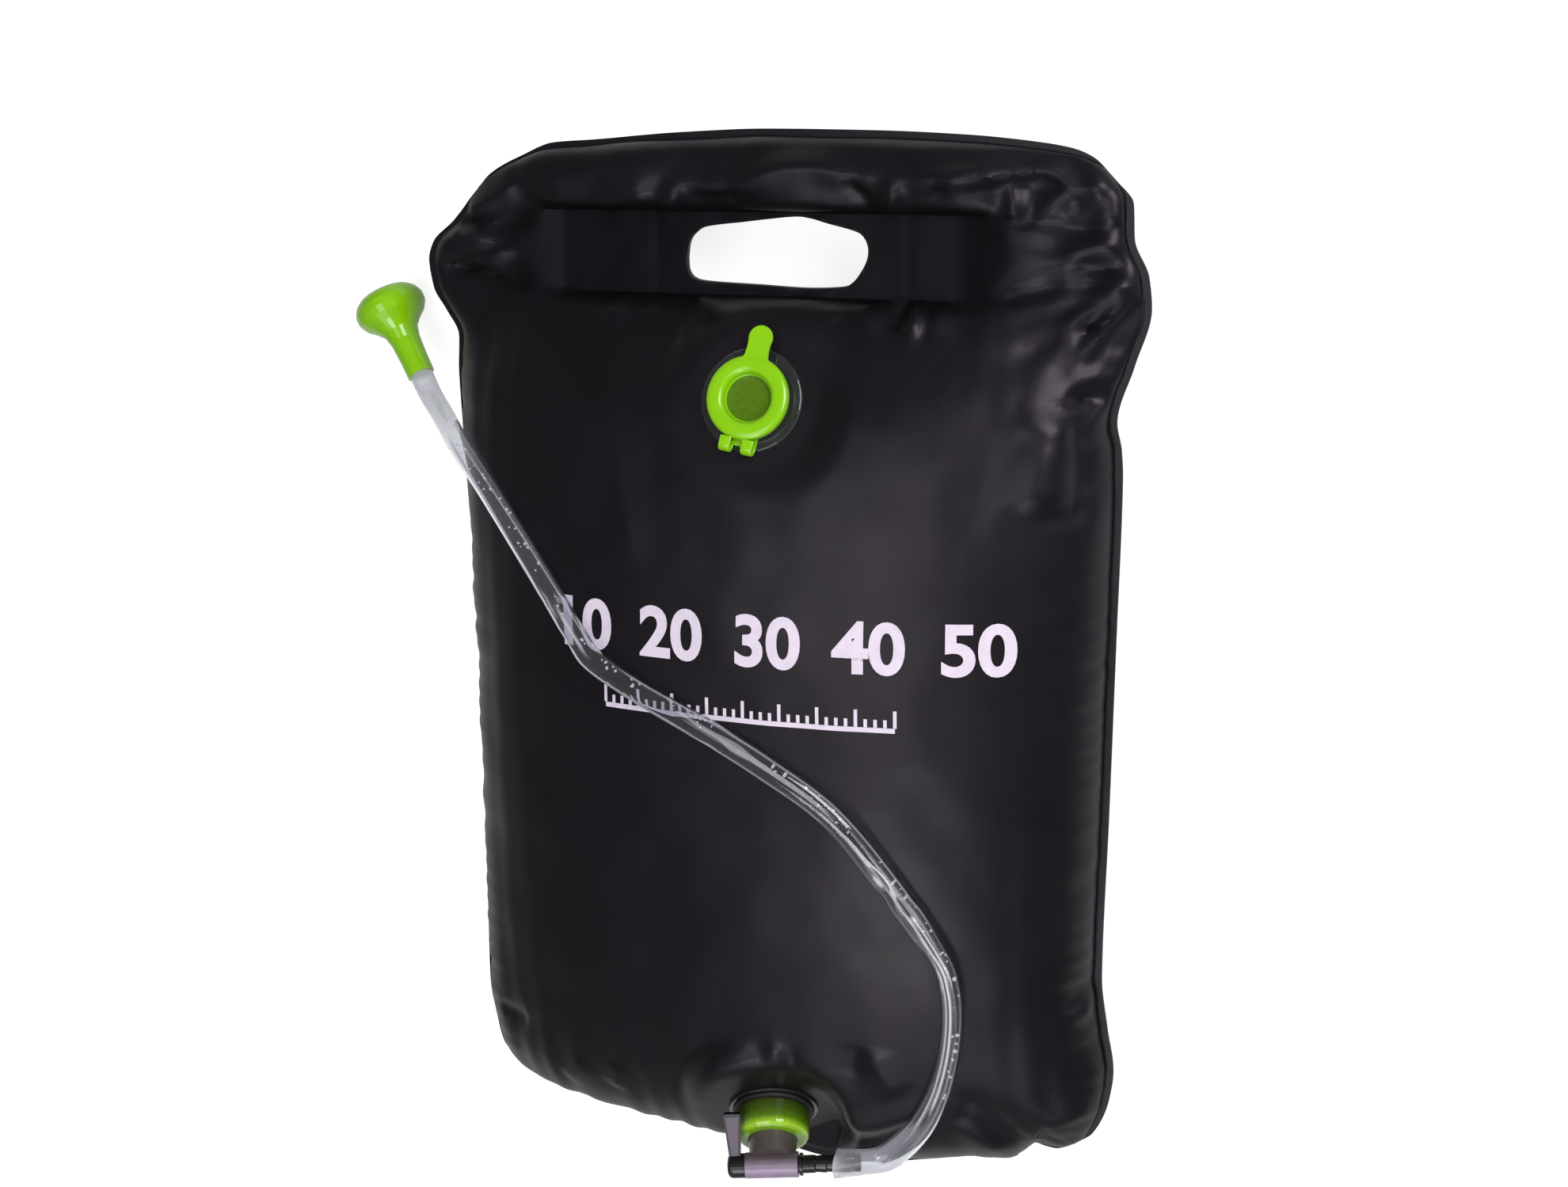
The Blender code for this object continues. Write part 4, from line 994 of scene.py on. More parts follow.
skinValues = {
    # soft waves: how many, shortest and longest length, seed
    "clouds": (22, 28 * mm, 90 * mm, 3),
    "sleeveClouds": (7, 45 * mm, 90 * mm, 41),
    "sidePuckers": (9, 9 * mm, 30 * mm, 11),
    "endPuckers": (9, 9 * mm, 30 * mm, 12),
    "bandClouds": (16, 18 * mm, 60 * mm, 31),
    "backClouds": (22, 20 * mm, 70 * mm, 5),
    "backPuckers": (14, 9 * mm, 34 * mm, 21),
    "cloudHeight": 0.30 * mm,
    "puckerHeight": 1.0 * mm,
    "puckerLift": 0.42,             # share of the full lift by which the puckers are mostly gone
    "sideZone": 45 * mm,            # where a side's puckers give way to an end's
    "calmFrom": 150 * mm,           # height above which the puckers are lower
    "calmZone": 40 * mm,
    "calmShare": 0.75,
    "sleeveHeight": 2.4 * mm,
    "sleeveSlant": (0.6, 0.25),     # how the sleeve's waves lean, and how long they run up it
    "sleeveZone": 8 * mm,
    # how fast waves and wall grow to their full size with the lift off the welds
    "freeRate": 5,
    "wallRate": 3,
    "weldFade": 22 * mm,            # how far the band's finish and relief fade at its ends
    "weldEdge": 4 * mm,             # and at its edges
    "endFade": 20 * mm,             # how far from the island's ends the waves start
    "earFolds": 20 * mm,            # how far the ears' folds run on over the island's ends
    "bandHeight": 0.25 * mm,
    # places across the bag where grooves run through the band
    "bandLines": (-63 * mm, 76 * mm, -118 * mm),
    "bandGroove": 0.35 * mm,
    "grooveWidth": 2.4 * mm,
    "hoseSink": 0.2 * mm,
    "thinWall": 0.55 * mm,
    "groundRound": 3 * mm,          # how softly the back flattens on the ground
    "valveHoles": {"filler": 16.1 * mm, "outlet": 16.8 * mm},
    "valveHoleDepth": 24 * mm,
    "cutReach": 20 * mm,
    "handHoleStep": 1.6 * mm,
    "sharpAngle": 50,
}


def fromIslandEnds(x, y, bag):
    # Distance to the nearer of the two short sides of the band round the hand hole.
    fromEnd = np.minimum(np.abs(x - bag["islandLeft"]), np.abs(x - bag["islandRight"]))
    fromBand = np.maximum(np.maximum(bag["islandBottom"] - y, y - bag["islandTop"]), 0)
    return np.hypot(fromEnd, fromBand)


def softenEnds(height, grid, bag):
    # The island's two ends run out softly into the ears instead of ending in a wall.
    # They spread up to twice softEnd away, and the soft height counts up to softEnd.
    away = fromIslandEnds(grid[..., 0], grid[..., 1], bag) / bag["softEnd"]
    spread = setWeld(smoothStep(2 - away), 0)
    soft = height
    for turn in range(bag["softTurns"]):
        mean = (np.roll(soft, 1, 0) + np.roll(soft, -1, 0) + np.roll(soft, 1, 1)
                + np.roll(soft, -1, 1)) / 4
        soft = soft + (mean - soft) * spread
    return height + (soft - height) * smoothStep(1.5 - 1.5 * away)


def frontHeights(grid, lift, bag):
    x, y = grid[..., 0], grid[..., 1]
    beside = smoothStep(1.5 - np.abs(y - bag["islandBottom"]) / bag["earZone"] * 1.5)
    gentle = lift ** (1 + bag["earRound"] * beside * (y < bag["islandTop"]))
    base = bag["seamHeight"] + bag["sheetGap"] / 2
    height = base + bag["frontRise"] * gentle
    slope = np.clip(bag["islandTop"] - y, 0, None) * bag["islandSlope"]
    height = softenEnds(height + onIsland(grid, bag) * slope, grid, bag)
    for seat in (fillerSeat, outletSeat):
        height = height + (seat.height(x, y) - height) * seat.weight(x, y) * (lift > 0)
    return np.maximum(height, base + bag["leastRise"] * lift)


def seatFreedom(grid):
    # 0 on the valves' seats, 1 away from them.
    x, y = grid[..., 0], grid[..., 1]
    return (1 - fillerSeat.weight(x, y)) * (1 - outletSeat.weight(x, y))


def wallOf(lift, bag, skin, away=1):
    # The sheet is pressed thin at its welds and has its full wall a little way off.
    grown = np.clip(lift * skin["wallRate"], 0, 1) * away
    return skin["thinWall"] + (bag["sheetWall"] - skin["thinWall"]) * grown


def weldBand(x, y, bag, skin):
    # 1 on the flat band round the hand hole, fading to 0 past its edges.
    fade = skin["weldFade"]
    beyondX = np.maximum(bag["islandLeft"] - x, x - bag["islandRight"]) + fade
    beyondY = np.maximum(bag["islandBottom"] - y, y - bag["islandTop"])
    return smoothStep(1 - beyondX / fade) * smoothStep(1 - beyondY / skin["weldEdge"])


def frontSkin(grid, lift, bag, skin):
    x, y = grid[..., 0], grid[..., 1]
    inner = np.concatenate([grid, frontHeights(grid, lift, bag)[..., None]], -1)
    normals = surfaceNormals(inner)
    folds = foldField(x, y, frontFolds, foldValues) + fanField(x, y, foldFans, foldValues)
    onSleeve = smoothStep((y - bag["islandTop"]) / skin["sleeveZone"])
    slant, stretch = skin["sleeveSlant"]
    rise = waves(x + y * slant, y * stretch, *skin["sleeveClouds"])
    rise = rise * skin["sleeveHeight"] * onSleeve
    rise += waves(x, y, *skin["clouds"]) * skin["cloudHeight"]
    sides = np.minimum(x - leftSide(y), rightSide(y) - x)
    nearSide = smoothStep(1 - sides / skin["sideZone"])
    alongWeld = waves(y, y * 0, *skin["sidePuckers"]) * nearSide
    alongWeld += waves(x, x * 0, *skin["endPuckers"]) * (1 - nearSide)
    calm = 1 - skin["calmShare"] * smoothStep((y - skin["calmFrom"]) / skin["calmZone"])
    rise += alongWeld * np.exp(-(lift / skin["puckerLift"]) ** 2) * skin["puckerHeight"] * calm
    fromEnds = fromIslandEnds(x, y, bag)
    away = smoothStep(fromEnds / skin["endFade"])
    free = np.clip(lift * skin["freeRate"], 0, 1) * seatFreedom(grid) * away
    onEar = smoothStep(1.5 - fromEnds / skin["earFolds"])
    rise = rise * free + folds * (free + (1 - free) * onEar)
    outer = inner + normals * (rise + wallOf(lift, bag, skin, away))[..., None]
    held = lift == 0
    outer[held] = inner[held] + np.array([0, 0, 1]) * skin["thinWall"]
    outer[held] += (normals * (folds * onEar)[..., None])[held]
    relief = waves(x, y, *skin["bandClouds"]) * skin["bandHeight"]
    for line in skin["bandLines"]:
        relief = relief - skin["bandGroove"] * np.exp(-((x - line) / skin["grooveWidth"]) ** 2)
    outer[..., 2] += relief * weldBand(x, y, bag, skin)
    return outer


def backSkin(grid, lift, bag, skin):
    x, y = grid[..., 0], grid[..., 1]
    free = np.clip(lift * skin["freeRate"], 0, 1)
    height = bag["seamHeight"] - bag["sheetGap"] / 2 - bag["backDrop"] * lift
    height += waves(x, y, *skin["backClouds"]) * skin["cloudHeight"] * free
    alongWeld = waves(y + x, y - x, *skin["backPuckers"])
    height += alongWeld * np.exp(-(lift / skin["puckerLift"]) ** 2) * free * skin["puckerHeight"]
    height = height - wallOf(lift, bag, skin)
    soft = skin["groundRound"]
    flattened = soft * np.exp(np.clip((height - soft) / soft, -30, 0))
    return np.concatenate([grid, np.where(height < soft, flattened, height)[..., None]], -1)


def sinkUnderHose(points, line, skin, radius):
    # The soft sheet gives way under the hose instead of running through it.
    freedom = seatFreedom(points)
    for centre in line[::2]:
        near = np.hypot(points[..., 0] - centre[0], points[..., 1] - centre[1])
        floor = centre[2] - np.sqrt(np.clip(radius ** 2 - near ** 2, 0, None)) - skin["hoseSink"]
        sunk = np.minimum(points[..., 2], floor)
        points[..., 2] = np.where(near < radius, points[..., 2] + (sunk - points[..., 2]) * freedom,
                                  points[..., 2])


def skinMesh(front, back):
    rows, columns = front.shape[:2]
    points = np.concatenate([front.reshape(-1, 3), back.reshape(-1, 3)])
    total = rows * columns
    index = np.arange(total).reshape(rows, columns)
    quad = np.stack([index[:-1, :-1], index[:-1, 1:], index[1:, 1:], index[1:, :-1]], -1)
    faces = quad.reshape(-1, 4).tolist() + (quad[..., ::-1] + total).reshape(-1, 4).tolist()
    border = np.concatenate([index[0, :-1], index[:-1, -1], index[-1, ::-1][:-1],
                             index[::-1, 0][:-1]]).tolist()
    for a, b in zip(border, border[1:] + border[:1]):
        faces.append([a, a + total, b + total, b])
    mesh = bpy.data.meshes.new("bagSkin")
    mesh.from_pydata(points.tolist(), [], faces)
    storeField(mesh, "weld", weldBand(points[:, 0], points[:, 1], bagValues, skinValues))
    return mesh


def ringCutter(name, outline, low, high, matrix):
    built = bmesh.new()
    face = built.faces.new([built.verts.new((x, y, low)) for x, y in outline])
    raised = bmesh.ops.extrude_face_region(built, geom=[face])
    verts = [item for item in raised["geom"] if isinstance(item, bmesh.types.BMVert)]
    bmesh.ops.translate(built, verts=verts, vec=(0, 0, high - low))
    bmesh.ops.recalc_face_normals(built, faces=built.faces)
    made = addObject(name, finishMesh(bpy.data.meshes.new(name), built))
    made.matrix_world = matrix
    return made


def cutHoles(target, cutters):
    for cutter in cutters:
        step = target.modifiers.new(cutter.name, "BOOLEAN")
        step.operation = "DIFFERENCE"
        step.object = cutter
        step.solver = "EXACT"
    bpy.context.view_layer.update()
    shaped = target.evaluated_get(bpy.context.evaluated_depsgraph_get())
    mesh = bpy.data.meshes.new_from_object(shaped)
    target.modifiers.clear()
    old = target.data
    target.data = mesh
    bpy.data.meshes.remove(old)
    for cutter in cutters:
        bpy.data.objects.remove(cutter, do_unlink=True)


# Edge of the hand hole: places across and up the bag in mm, from its left end by the top
handHoleEdge = (
    (-46, 219), (-44.5, 227), (-40.5, 232), (-34, 235), (-14, 237.5), (12, 240.5), (22, 240),
    (32, 237.5), (46.5, 234), (51.5, 231), (54, 225.5), (53.5, 219.5), (50.5, 213.5), (46, 208),
    (39.5, 205.5), (20, 204.5), (-6, 205.5), (-33, 206.5), (-42, 208), (-45.5, 212),
)


def handHoleOutline(points, step):
    ring = [np.array(p, float) * mm for p in points]
    closed = smoothLine([*ring, ring[0]], step)[:-1]
    return [tuple(p) for p in closed]


def circle(radius, count=64):
    # Turned a little, so that no corner of it lies on a line of the grid.
    angles = [math.tau * (i + 0.3) / count for i in range(count)]
    return [(radius * math.cos(angle), radius * math.sin(angle)) for angle in angles]


def makeSkin(bag, skin):
    grid = bagGrid(bag)
    lift = membraneLift(grid, bag)
    print("bag grid", grid.shape)
    front = frontSkin(grid, lift, bag, skin)
    sinkUnderHose(front, hoseLine, skin, hoseValues["radius"])
    back = backSkin(grid, lift, bag, skin)
    made = newObject("bagSkin", skinMesh(front, back), blackSheet, None)
    seam, reach = bag["seamHeight"], skin["cutReach"]
    outline = handHoleOutline(handHoleEdge, skin["handHoleStep"])
    cutters = [ringCutter("handHoleCutter", outline, seam - reach, seam + reach,
                          Matrix.Identity(4))]
    for name, seat in (("filler", fillerSeat), ("outlet", outletSeat)):
        cutters.append(ringCutter(name + "Cutter", circle(skin["valveHoles"][name]),
                                  -skin["valveHoleDepth"], reach, seat.matrix))
    cutHoles(made, cutters)
    made.data.shade_smooth()
    made.data.set_sharp_from_angle(angle=math.radians(skin["sharpAngle"]))
    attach(made, "bag")
    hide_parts("front_sheet", "back_sheet")
    tree = BVHTree.FromPolygons([v.co.copy() for v in made.data.vertices],
                                [p.vertices[:] for p in made.data.polygons])
    return made, tree


bagSkin, skinTree = makeSkin(bagValues, skinValues)
print("bag skin", len(bagSkin.data.polygons), "faces")


# Hose mesh: round where it is held, flattened and creased where it lies over the bag

hoseShape = {
    # share of the length, half width and half thickness in mm, exponent of the section
    "stations": (
        (0.000, 8.6, 6.8, 2.3), (0.012, 7.7, 6.0, 2.4), (0.050, 7.9, 4.6, 2.3),
        (0.090, 7.3, 4.6, 2.2), (0.150, 6.1, 5.0, 2.1), (0.240, 5.9, 4.9, 2.1),
        (0.270, 5.8, 4.6, 2.0), (0.300, 6.7, 3.8, 2.2), (0.400, 6.4, 4.8, 2.0),
        (0.520, 6.9, 4.2, 2.1), (0.600, 6.3, 4.8, 2.0), (0.660, 7.1, 3.6, 2.2),
        (0.720, 6.8, 4.4, 2.1), (0.790, 6.3, 5.6, 2.0), (0.880, 6.2, 6.0, 2.0),
        (0.950, 6.35, 6.3, 2.0), (0.985, 6.7, 6.7, 2.0), (1.000, 6.5, 6.5, 2.0),
    ),
    # share of the length, how far along it reaches, angle round the section, how far round, depth
    "dents": (
        (0.030, 0.012, 70, 40, 0.22), (0.050, 0.010, 110, 35, 0.25),
        (0.160, 0.110, 84, 17, 0.34), (0.215, 0.080, 118, 13, 0.20),
        (0.318, 0.006, 60, 40, 0.30), (0.330, 0.007, 150, 45, 0.24), (0.345, 0.010, 100, 25, 0.25),
        (0.500, 0.012, 70, 35, 0.20), (0.520, 0.008, 130, 30, 0.22), (0.560, 0.020, 95, 22, 0.18),
        (0.650, 0.010, 75, 35, 0.26), (0.668, 0.007, 120, 35, 0.30), (0.690, 0.008, 60, 40, 0.28),
        (0.705, 0.006, 110, 28, 0.24), (0.730, 0.012, 85, 30, 0.20),
    ),
    # share where it starts and ends, angle round the section, how far round, strength of the milk;
    # these white lines are painted highlights along the edges and creases
    "milkAndHighlightLines": (
        (0.085, 0.270, 122, 4, 0.75), (0.110, 0.275, 96, 6, 1.00), (0.060, 0.200, 66, 3.5, 0.25),
        (0.270, 0.420, 168, 7, 0.45), (0.400, 0.660, 160, 7, 0.75), (0.640, 0.900, 166, 9, 0.95),
        (0.280, 0.620, 18, 4, 0.45), (0.640, 0.860, 24, 4, 0.35), (0.300, 0.420, 96, 4, 0.40),
        (0.255, 0.300, 104, 9, 0.60), (0.640, 0.700, 80, 8, 0.55), (0.680, 0.720, 110, 7, 0.50),
        (0.000, 0.095, 250, 50, 0.30), (0.000, 0.060, 60, 30, 0.15), (-0.02, 0.010, 90, 60, 0.80),
        (0.020, 0.060, 30, 5, 0.60),
    ),
    # share of the length and the milk all round there
    "milkAlong": ((0.0, 0.17), (0.022, 0.10), (0.042, 0.03), (0.07, 0.01), (0.30, 0.0),
                  (0.60, 0.0), (0.83, 0.02), (0.90, 0.12), (0.96, 0.30), (1.0, 0.40)),
    "milkPatch": 0.01,          # how patchy the milk is, with a seed of its own
    "milkSeed": 29,
    "milkFade": 0.02,
    "mostMilk": 0.95,
    "mostDent": 0.5,
    # shares of the length: where it lies free of the barb, then where the head holds it again
    # and over how much it eases toward that
    "freeStart": 0.05,
    "freeEnd": (0.9, 0.12),
    "slackShare": 0.8,          # how far it sinks into the room that its flattening leaves
    "cuffShare": 0.03,          # share of the length over which the cuff's end is cut slanting
    "cuffSlant": 3.0 * mm,
    "cuffTilt": (0.8, 0.2),     # how the slant goes round the section, and its share all round
    "sides": 72,
    "evenTurns": 6,
    "smoothTurns": 300,
    "nearBag": 25 * mm,         # farther from the skin than this, the hose's back points up
    "sharpAngle": 60,
}


def hoseFrames(line, shape):
    # Along, across and out of the surface that the hose lies on, smoothed along the hose.
    along = np.gradient(line, axis=0)
    along /= np.linalg.norm(along, axis=1, keepdims=True)
    out = []
    for point in line:
        place, normal, _, distance = skinTree.find_nearest(Vector(point))
        away = Vector(point) - place
        out.append(away.normalized() if away.dot(normal) > 0 and distance < shape["nearBag"]
                   else Vector((0, 0, 1)))
    out = np.array(out)
    evenOut(out, shape["smoothTurns"])
    out -= along * (out * along).sum(1, keepdims=True)
    out /= np.linalg.norm(out, axis=1, keepdims=True)
    return along, np.cross(along, out), out


def roundBump(degrees, middle, spread):
    # 1 at this angle round the section, falling off to both sides.
    turned = (degrees - middle + 180) % 360 - 180
    return np.exp(-(turned / spread) ** 2)


def rounded(value, power):
    # A sine or cosine bent by a power, which makes a round section squarer.
    return np.sign(value) * np.abs(value) ** power


def hoseMilkAndHighlights(share, degrees, shape, chance):
    places, milks = np.array(shape["milkAlong"]).T
    milk = np.interp(share, places, milks) + chance.uniform(0, shape["milkPatch"], len(degrees))
    fade = shape["milkFade"]
    # The lines lay painted highlights on the hose as white haze along its edges and creases.
    for start, end, middle, spread, strength in shape["milkAndHighlightLines"]:
        edge = smoothStep((share - start) / fade) * smoothStep((end - share) / fade)
        milk = milk + strength * edge * roundBump(degrees, middle, spread)
    return np.clip(milk, 0, shape["mostMilk"])


def hoseDents(share, degrees, shape):
    # The share of the section that its dents leave, at each angle.
    depth = np.zeros(len(degrees))
    for place, reach, middle, spread, deep in shape["dents"]:
        depth += (deep * math.exp(-((share - place) / reach) ** 2)
                  * roundBump(degrees, middle, spread))
    return 1 - np.clip(depth, 0, shape["mostDent"])


def makeHose(values, shape):
    line, sides, count = hoseLine, shape["sides"], len(hoseLine)
    shares = hoseLengths / hoseLengths[-1]
    stations = np.array(shape["stations"])
    half, thick, power = [np.interp(shares, stations[:, 0], stations[:, k]) for k in (1, 2, 3)]
    for row in (half, thick, power):
        evenOut(row, shape["evenTurns"])
    along, across, out = hoseFrames(line, shape)
    angles = np.arange(sides) * math.tau / sides
    degrees = np.degrees(angles)
    freeEnd, freeFade = shape["freeEnd"]
    tilt, shift = shape["cuffTilt"]
    chance = np.random.default_rng(shape["milkSeed"])
    rings = []
    milk = []
    for inset in (0, values["wall"]):
        for i, share in enumerate(shares):
            milk.append(hoseMilkAndHighlights(share, degrees, shape, chance))
            u = rounded(np.cos(angles), 2 / power[i]) * (half[i] * mm - inset)
            v = rounded(np.sin(angles), 2 / power[i]) * (thick[i] * mm - inset)
            keep = hoseDents(share, degrees, shape)
            free = smoothStep(share / shape["freeStart"]) * smoothStep((freeEnd - share) / freeFade)
            slack = (values["radius"] - thick[i] * mm) * free * shape["slackShare"]
            ring = (line[i] - out[i] * slack + across[i] * (u * keep)[:, None]
                    + out[i] * (v * keep)[:, None])
            if share < shape["cuffShare"]:
                slant = np.sin(angles) * tilt + shift
                slant = shape["cuffSlant"] * slant * (1 - share / shape["cuffShare"])
                ring = ring - along[i] * slant[:, None]
            rings.append(ring)
    faces = tubeFaces(0, count, sides) + tubeFaces(count * sides, count, sides)
    for outer in (0, (count - 1) * sides):
        inner = outer + count * sides
        for k in range(sides):
            j = (k + 1) % sides
            faces.append([outer + k, inner + k, inner + j, outer + j])
    mesh = solidMesh("hoseTube", np.concatenate(rings), faces, shape["sharpAngle"])
    storeField(mesh, "milk", np.concatenate(milk))
    return newObject("hoseTube", mesh, clearHose, "bag", ("hose", "hose_cuff"))


hoseTube = makeHose(hoseValues, hoseShape)


# Water droplets left inside the hose

dropletValues = {
    "count": 110,
    "seed": 17,
    "shares": (0.13, 0.92),         # of the hose's length
    "angles": (-15, 75),            # round its section
    "sizes": (0.35 * mm, 0.85 * mm),
    "stretch": (1, 1.6),
    "flatness": (0.55, 0.8),
    "standOff": 0.8,                # from the wall to its middle, in its own radii
    "inside": 0.86,                 # share of the room inside the wall that the droplets keep to
}


def makeDroplets(values, hose, shape):
    chance = np.random.default_rng(values["seed"])
    _, across, out = hoseFrames(hoseLine, shape)
    stations = np.array(shape["stations"])
    built = bmesh.new()
    for i in range(values["count"]):
        share = chance.uniform(*values["shares"])
        at = int(share * (len(hoseLine) - 1))
        half, thick = [np.interp(share, stations[:, 0], stations[:, k]) * mm for k in (1, 2)]
        angle = math.radians(chance.uniform(*values["angles"]))
        size = chance.uniform(*values["sizes"])
        inside = hose["wall"] + size * values["standOff"]
        slack = (hose["radius"] - thick) * shape["slackShare"]
        place = (hoseLine[at] - out[at] * slack
                 + across[at] * math.cos(angle) * (half - inside) * values["inside"]
                 + out[at] * math.sin(angle) * (thick - inside) * values["inside"])
        stretch = Matrix.Diagonal((1, chance.uniform(*values["stretch"]),
                                   chance.uniform(*values["flatness"]), 1))
        turn = Matrix.Rotation(chance.uniform(0, math.tau), 4, "Z")
        bmesh.ops.create_icosphere(built, subdivisions=2, radius=size,
                                   matrix=Matrix.Translation(place) @ turn @ stretch)
    mesh = finishMesh(bpy.data.meshes.new("hoseDroplets"), built)
    return newObject("hoseDroplets", mesh, waterDrop, "bag", ())


droplets = makeDroplets(dropletValues, hoseValues, hoseShape)
print("hose made")


# Cap: turned shell with a rounded lip into its well, and a tab with rounded edges

capValues = {
    # radius and height above the sheet in mm, from the well's middle out over the rim and back
    "profile": (
        (0.01, 5.2), (5.0, 5.2), (11.7, 5.2), (12.1, 5.3), (12.35, 5.8), (12.5, 6.8), (12.75, 7.9),
        (13.1, 8.7), (13.7, 9.35), (14.5, 9.75), (15.8, 9.9), (18.0, 9.9), (19.8, 9.75),
        (20.8, 9.3), (21.4, 8.6), (21.6, 7.6), (21.5, 5.4), (21.2, 5.15), (20.3, 5.15),
        (20.0, 5.4), (19.9, 7.1), (14.2, 7.1), (13.6, 6.6), (13.0, 1.2), (12.3, 0.75), (0.01, 0.7),
    ),
    "floorRings": 2,            # the first rings of the profile are the well's floor
    "turns": 96,
    # half width and place up the tab in mm, then the round tip's middle and radius
    "tab": ((7.2, 18.5), (6.2, 21.5), (5.9, 24.5), (6.0, 27.5), (6.25, 29.8)),
    "tabTip": (30.8, 6.35),
    "tabTipFrom": -12,          # degrees at which the tip's arc takes over from the side
    "tabTipSteps": 12,
    "tabLow": 7.5,
    "tabHigh": 9.6,
    "tabRound": 0.45,
    "sharpAngle": 42,
}


def tabOutline(values):
    # The tab's right side and half of its round tip, then the same mirrored.
    middle, radius = values["tabTip"]
    start, steps = values["tabTipFrom"], values["tabTipSteps"]
    right = list(values["tab"])
    for k in range(steps + 1):
        angle = math.radians(start + (90 - start) * k / steps)
        right.append((radius * math.cos(angle), middle + radius * math.sin(angle)))
    return right + [(-x, y) for x, y in right[::-1] if x > 0.01]


def makeCap(values):
    built = bmesh.new()
    turns = values["turns"]
    rings = []
    for radius, height in values["profile"]:
        rings.append([built.verts.new((radius * mm * math.cos(math.tau * k / turns),
                                       radius * mm * math.sin(math.tau * k / turns), height * mm))
                      for k in range(turns)])
    bands = bridgeRings(built, rings)
    # The floor's faces take the second finish, the painted shade of the well.
    floor = [face for band in bands[:values["floorRings"]] for face in band]
    for face in [*floor, built.faces.new(rings[0][::-1])]:
        face.material_index = 1
    built.faces.new(rings[-1])
    outline = tabOutline(values)
    inner = values["tabRound"]
    middleY = sum(y for _, y in outline) / len(outline)
    layers = []
    for height, inset in ((values["tabLow"], inner), (values["tabLow"] + inner, 0),
                          (values["tabHigh"] - inner, 0), (values["tabHigh"], inner)):
        layer = []
        for x, y in outline:
            scale = 1 - inset / math.hypot(x, y - middleY)
            layer.append(built.verts.new((x * scale * mm, (middleY + (y - middleY) * scale) * mm,
                                          height * mm)))
        layers.append(layer)
    bridgeRings(built, layers)
    built.faces.new(layers[0][::-1])
    built.faces.new(layers[-1])
    bmesh.ops.recalc_face_normals(built, faces=built.faces)
    built.transform(fillerSeat.matrix)
    mesh = finishMesh(bpy.data.meshes.new("capShell"), built, values["sharpAngle"])
    newObject("capShell", mesh, lime, "cap", ("filler_cap",))
    mesh.materials.append(wellFloorShade)


makeCap(capValues)
print("cap made")


# Straps of the cap

strapValues = {
    "width": 6 * mm,
    "wall": 1.25 * mm,
    "spacing": 12 * mm,
    "capRadius": 22 * mm,
    "reach": 3.2 * mm,
    "lug": 24.5 * mm,
    "low": 2.8 * mm,
    "high": 8.4 * mm,
    "overlap": 1.0 * mm,            # how far a strap runs into the cap and the lug
    "steps": 22,
    "sides": 16,
    "corners": (0.35, 0.6),         # how square the section is across and through
    "sharpAngle": 40,
}


def makeStrap(name, side, values, node):
    middle = side * values["spacing"] / 2
    hingeY = -(values["capRadius"] + values["reach"])
    hingeZ = (values["low"] + values["high"]) / 2
    bend = (values["high"] - values["low"]) / 2
    path = [(-(values["capRadius"] - values["overlap"]), values["high"], 0.0)]
    for i in range(values["steps"] + 1):
        angle = math.pi * i / values["steps"]
        path.append((hingeY - bend * math.sin(angle), hingeZ + bend * math.cos(angle), angle))
    path.append((-values["lug"] + values["overlap"], values["low"], math.pi))
    sides = values["sides"]
    squareAcross, squareThrough = values["corners"]
    section = []
    for i in range(sides):
        angle = math.tau * i / sides
        section.append((rounded(math.cos(angle), squareAcross) * values["width"] / 2,
                        rounded(math.sin(angle), squareThrough) * values["wall"] / 2))
    points = []
    for y, z, angle in path:
        for u, v in section:
            local = Vector((middle + u, y - v * math.sin(angle), z + v * math.cos(angle)))
            points.append(fillerSeat.matrix @ local)
    faces = [list(range(sides))[::-1], list(range(len(points) - sides, len(points)))]
    faces += tubeFaces(0, len(path), sides)
    mesh = solidMesh(name, points, faces, values["sharpAngle"])
    made = newObject(name, mesh, lime, None, (node,))
    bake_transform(made)


makeStrap("capStrapLeft", -1, strapValues, "cap_strap_left")
makeStrap("capStrapRight", 1, strapValues, "cap_strap_right")


# Plain print: a graduated strip with numbers, in place of the words

printValues = {
    "numbers": ("10", "20", "30", "40", "50"),
    "firstX": -87 * mm,
    "pitch": 53.5 * mm,
    "numberY": 33 * mm,
    "numberHeight": 26 * mm,
    "sizePerHeight": 1.4,
    "numberWeight": 1.1 * mm,
    "curveSteps": 6,
    "barY": -10 * mm,
    "barWidth": 2.6 * mm,
    "barLeft": -73 * mm,
    "barRight": 87 * mm,
    "tickHeight": 7 * mm,
    "tickWidth": 1.8 * mm,
    "tickGap": 0.1 * mm,
    "ticks": 32,
    "ticksEach": 4,
    "tickShares": (1.5, 0.8),       # of the height, for a long tick and a short one
    "proud": 0.12 * mm,
    "detail": 2.5 * mm,
    "cutTurns": 8,
    "above": 300 * mm,              # height over the bag from which the print is laid down
}


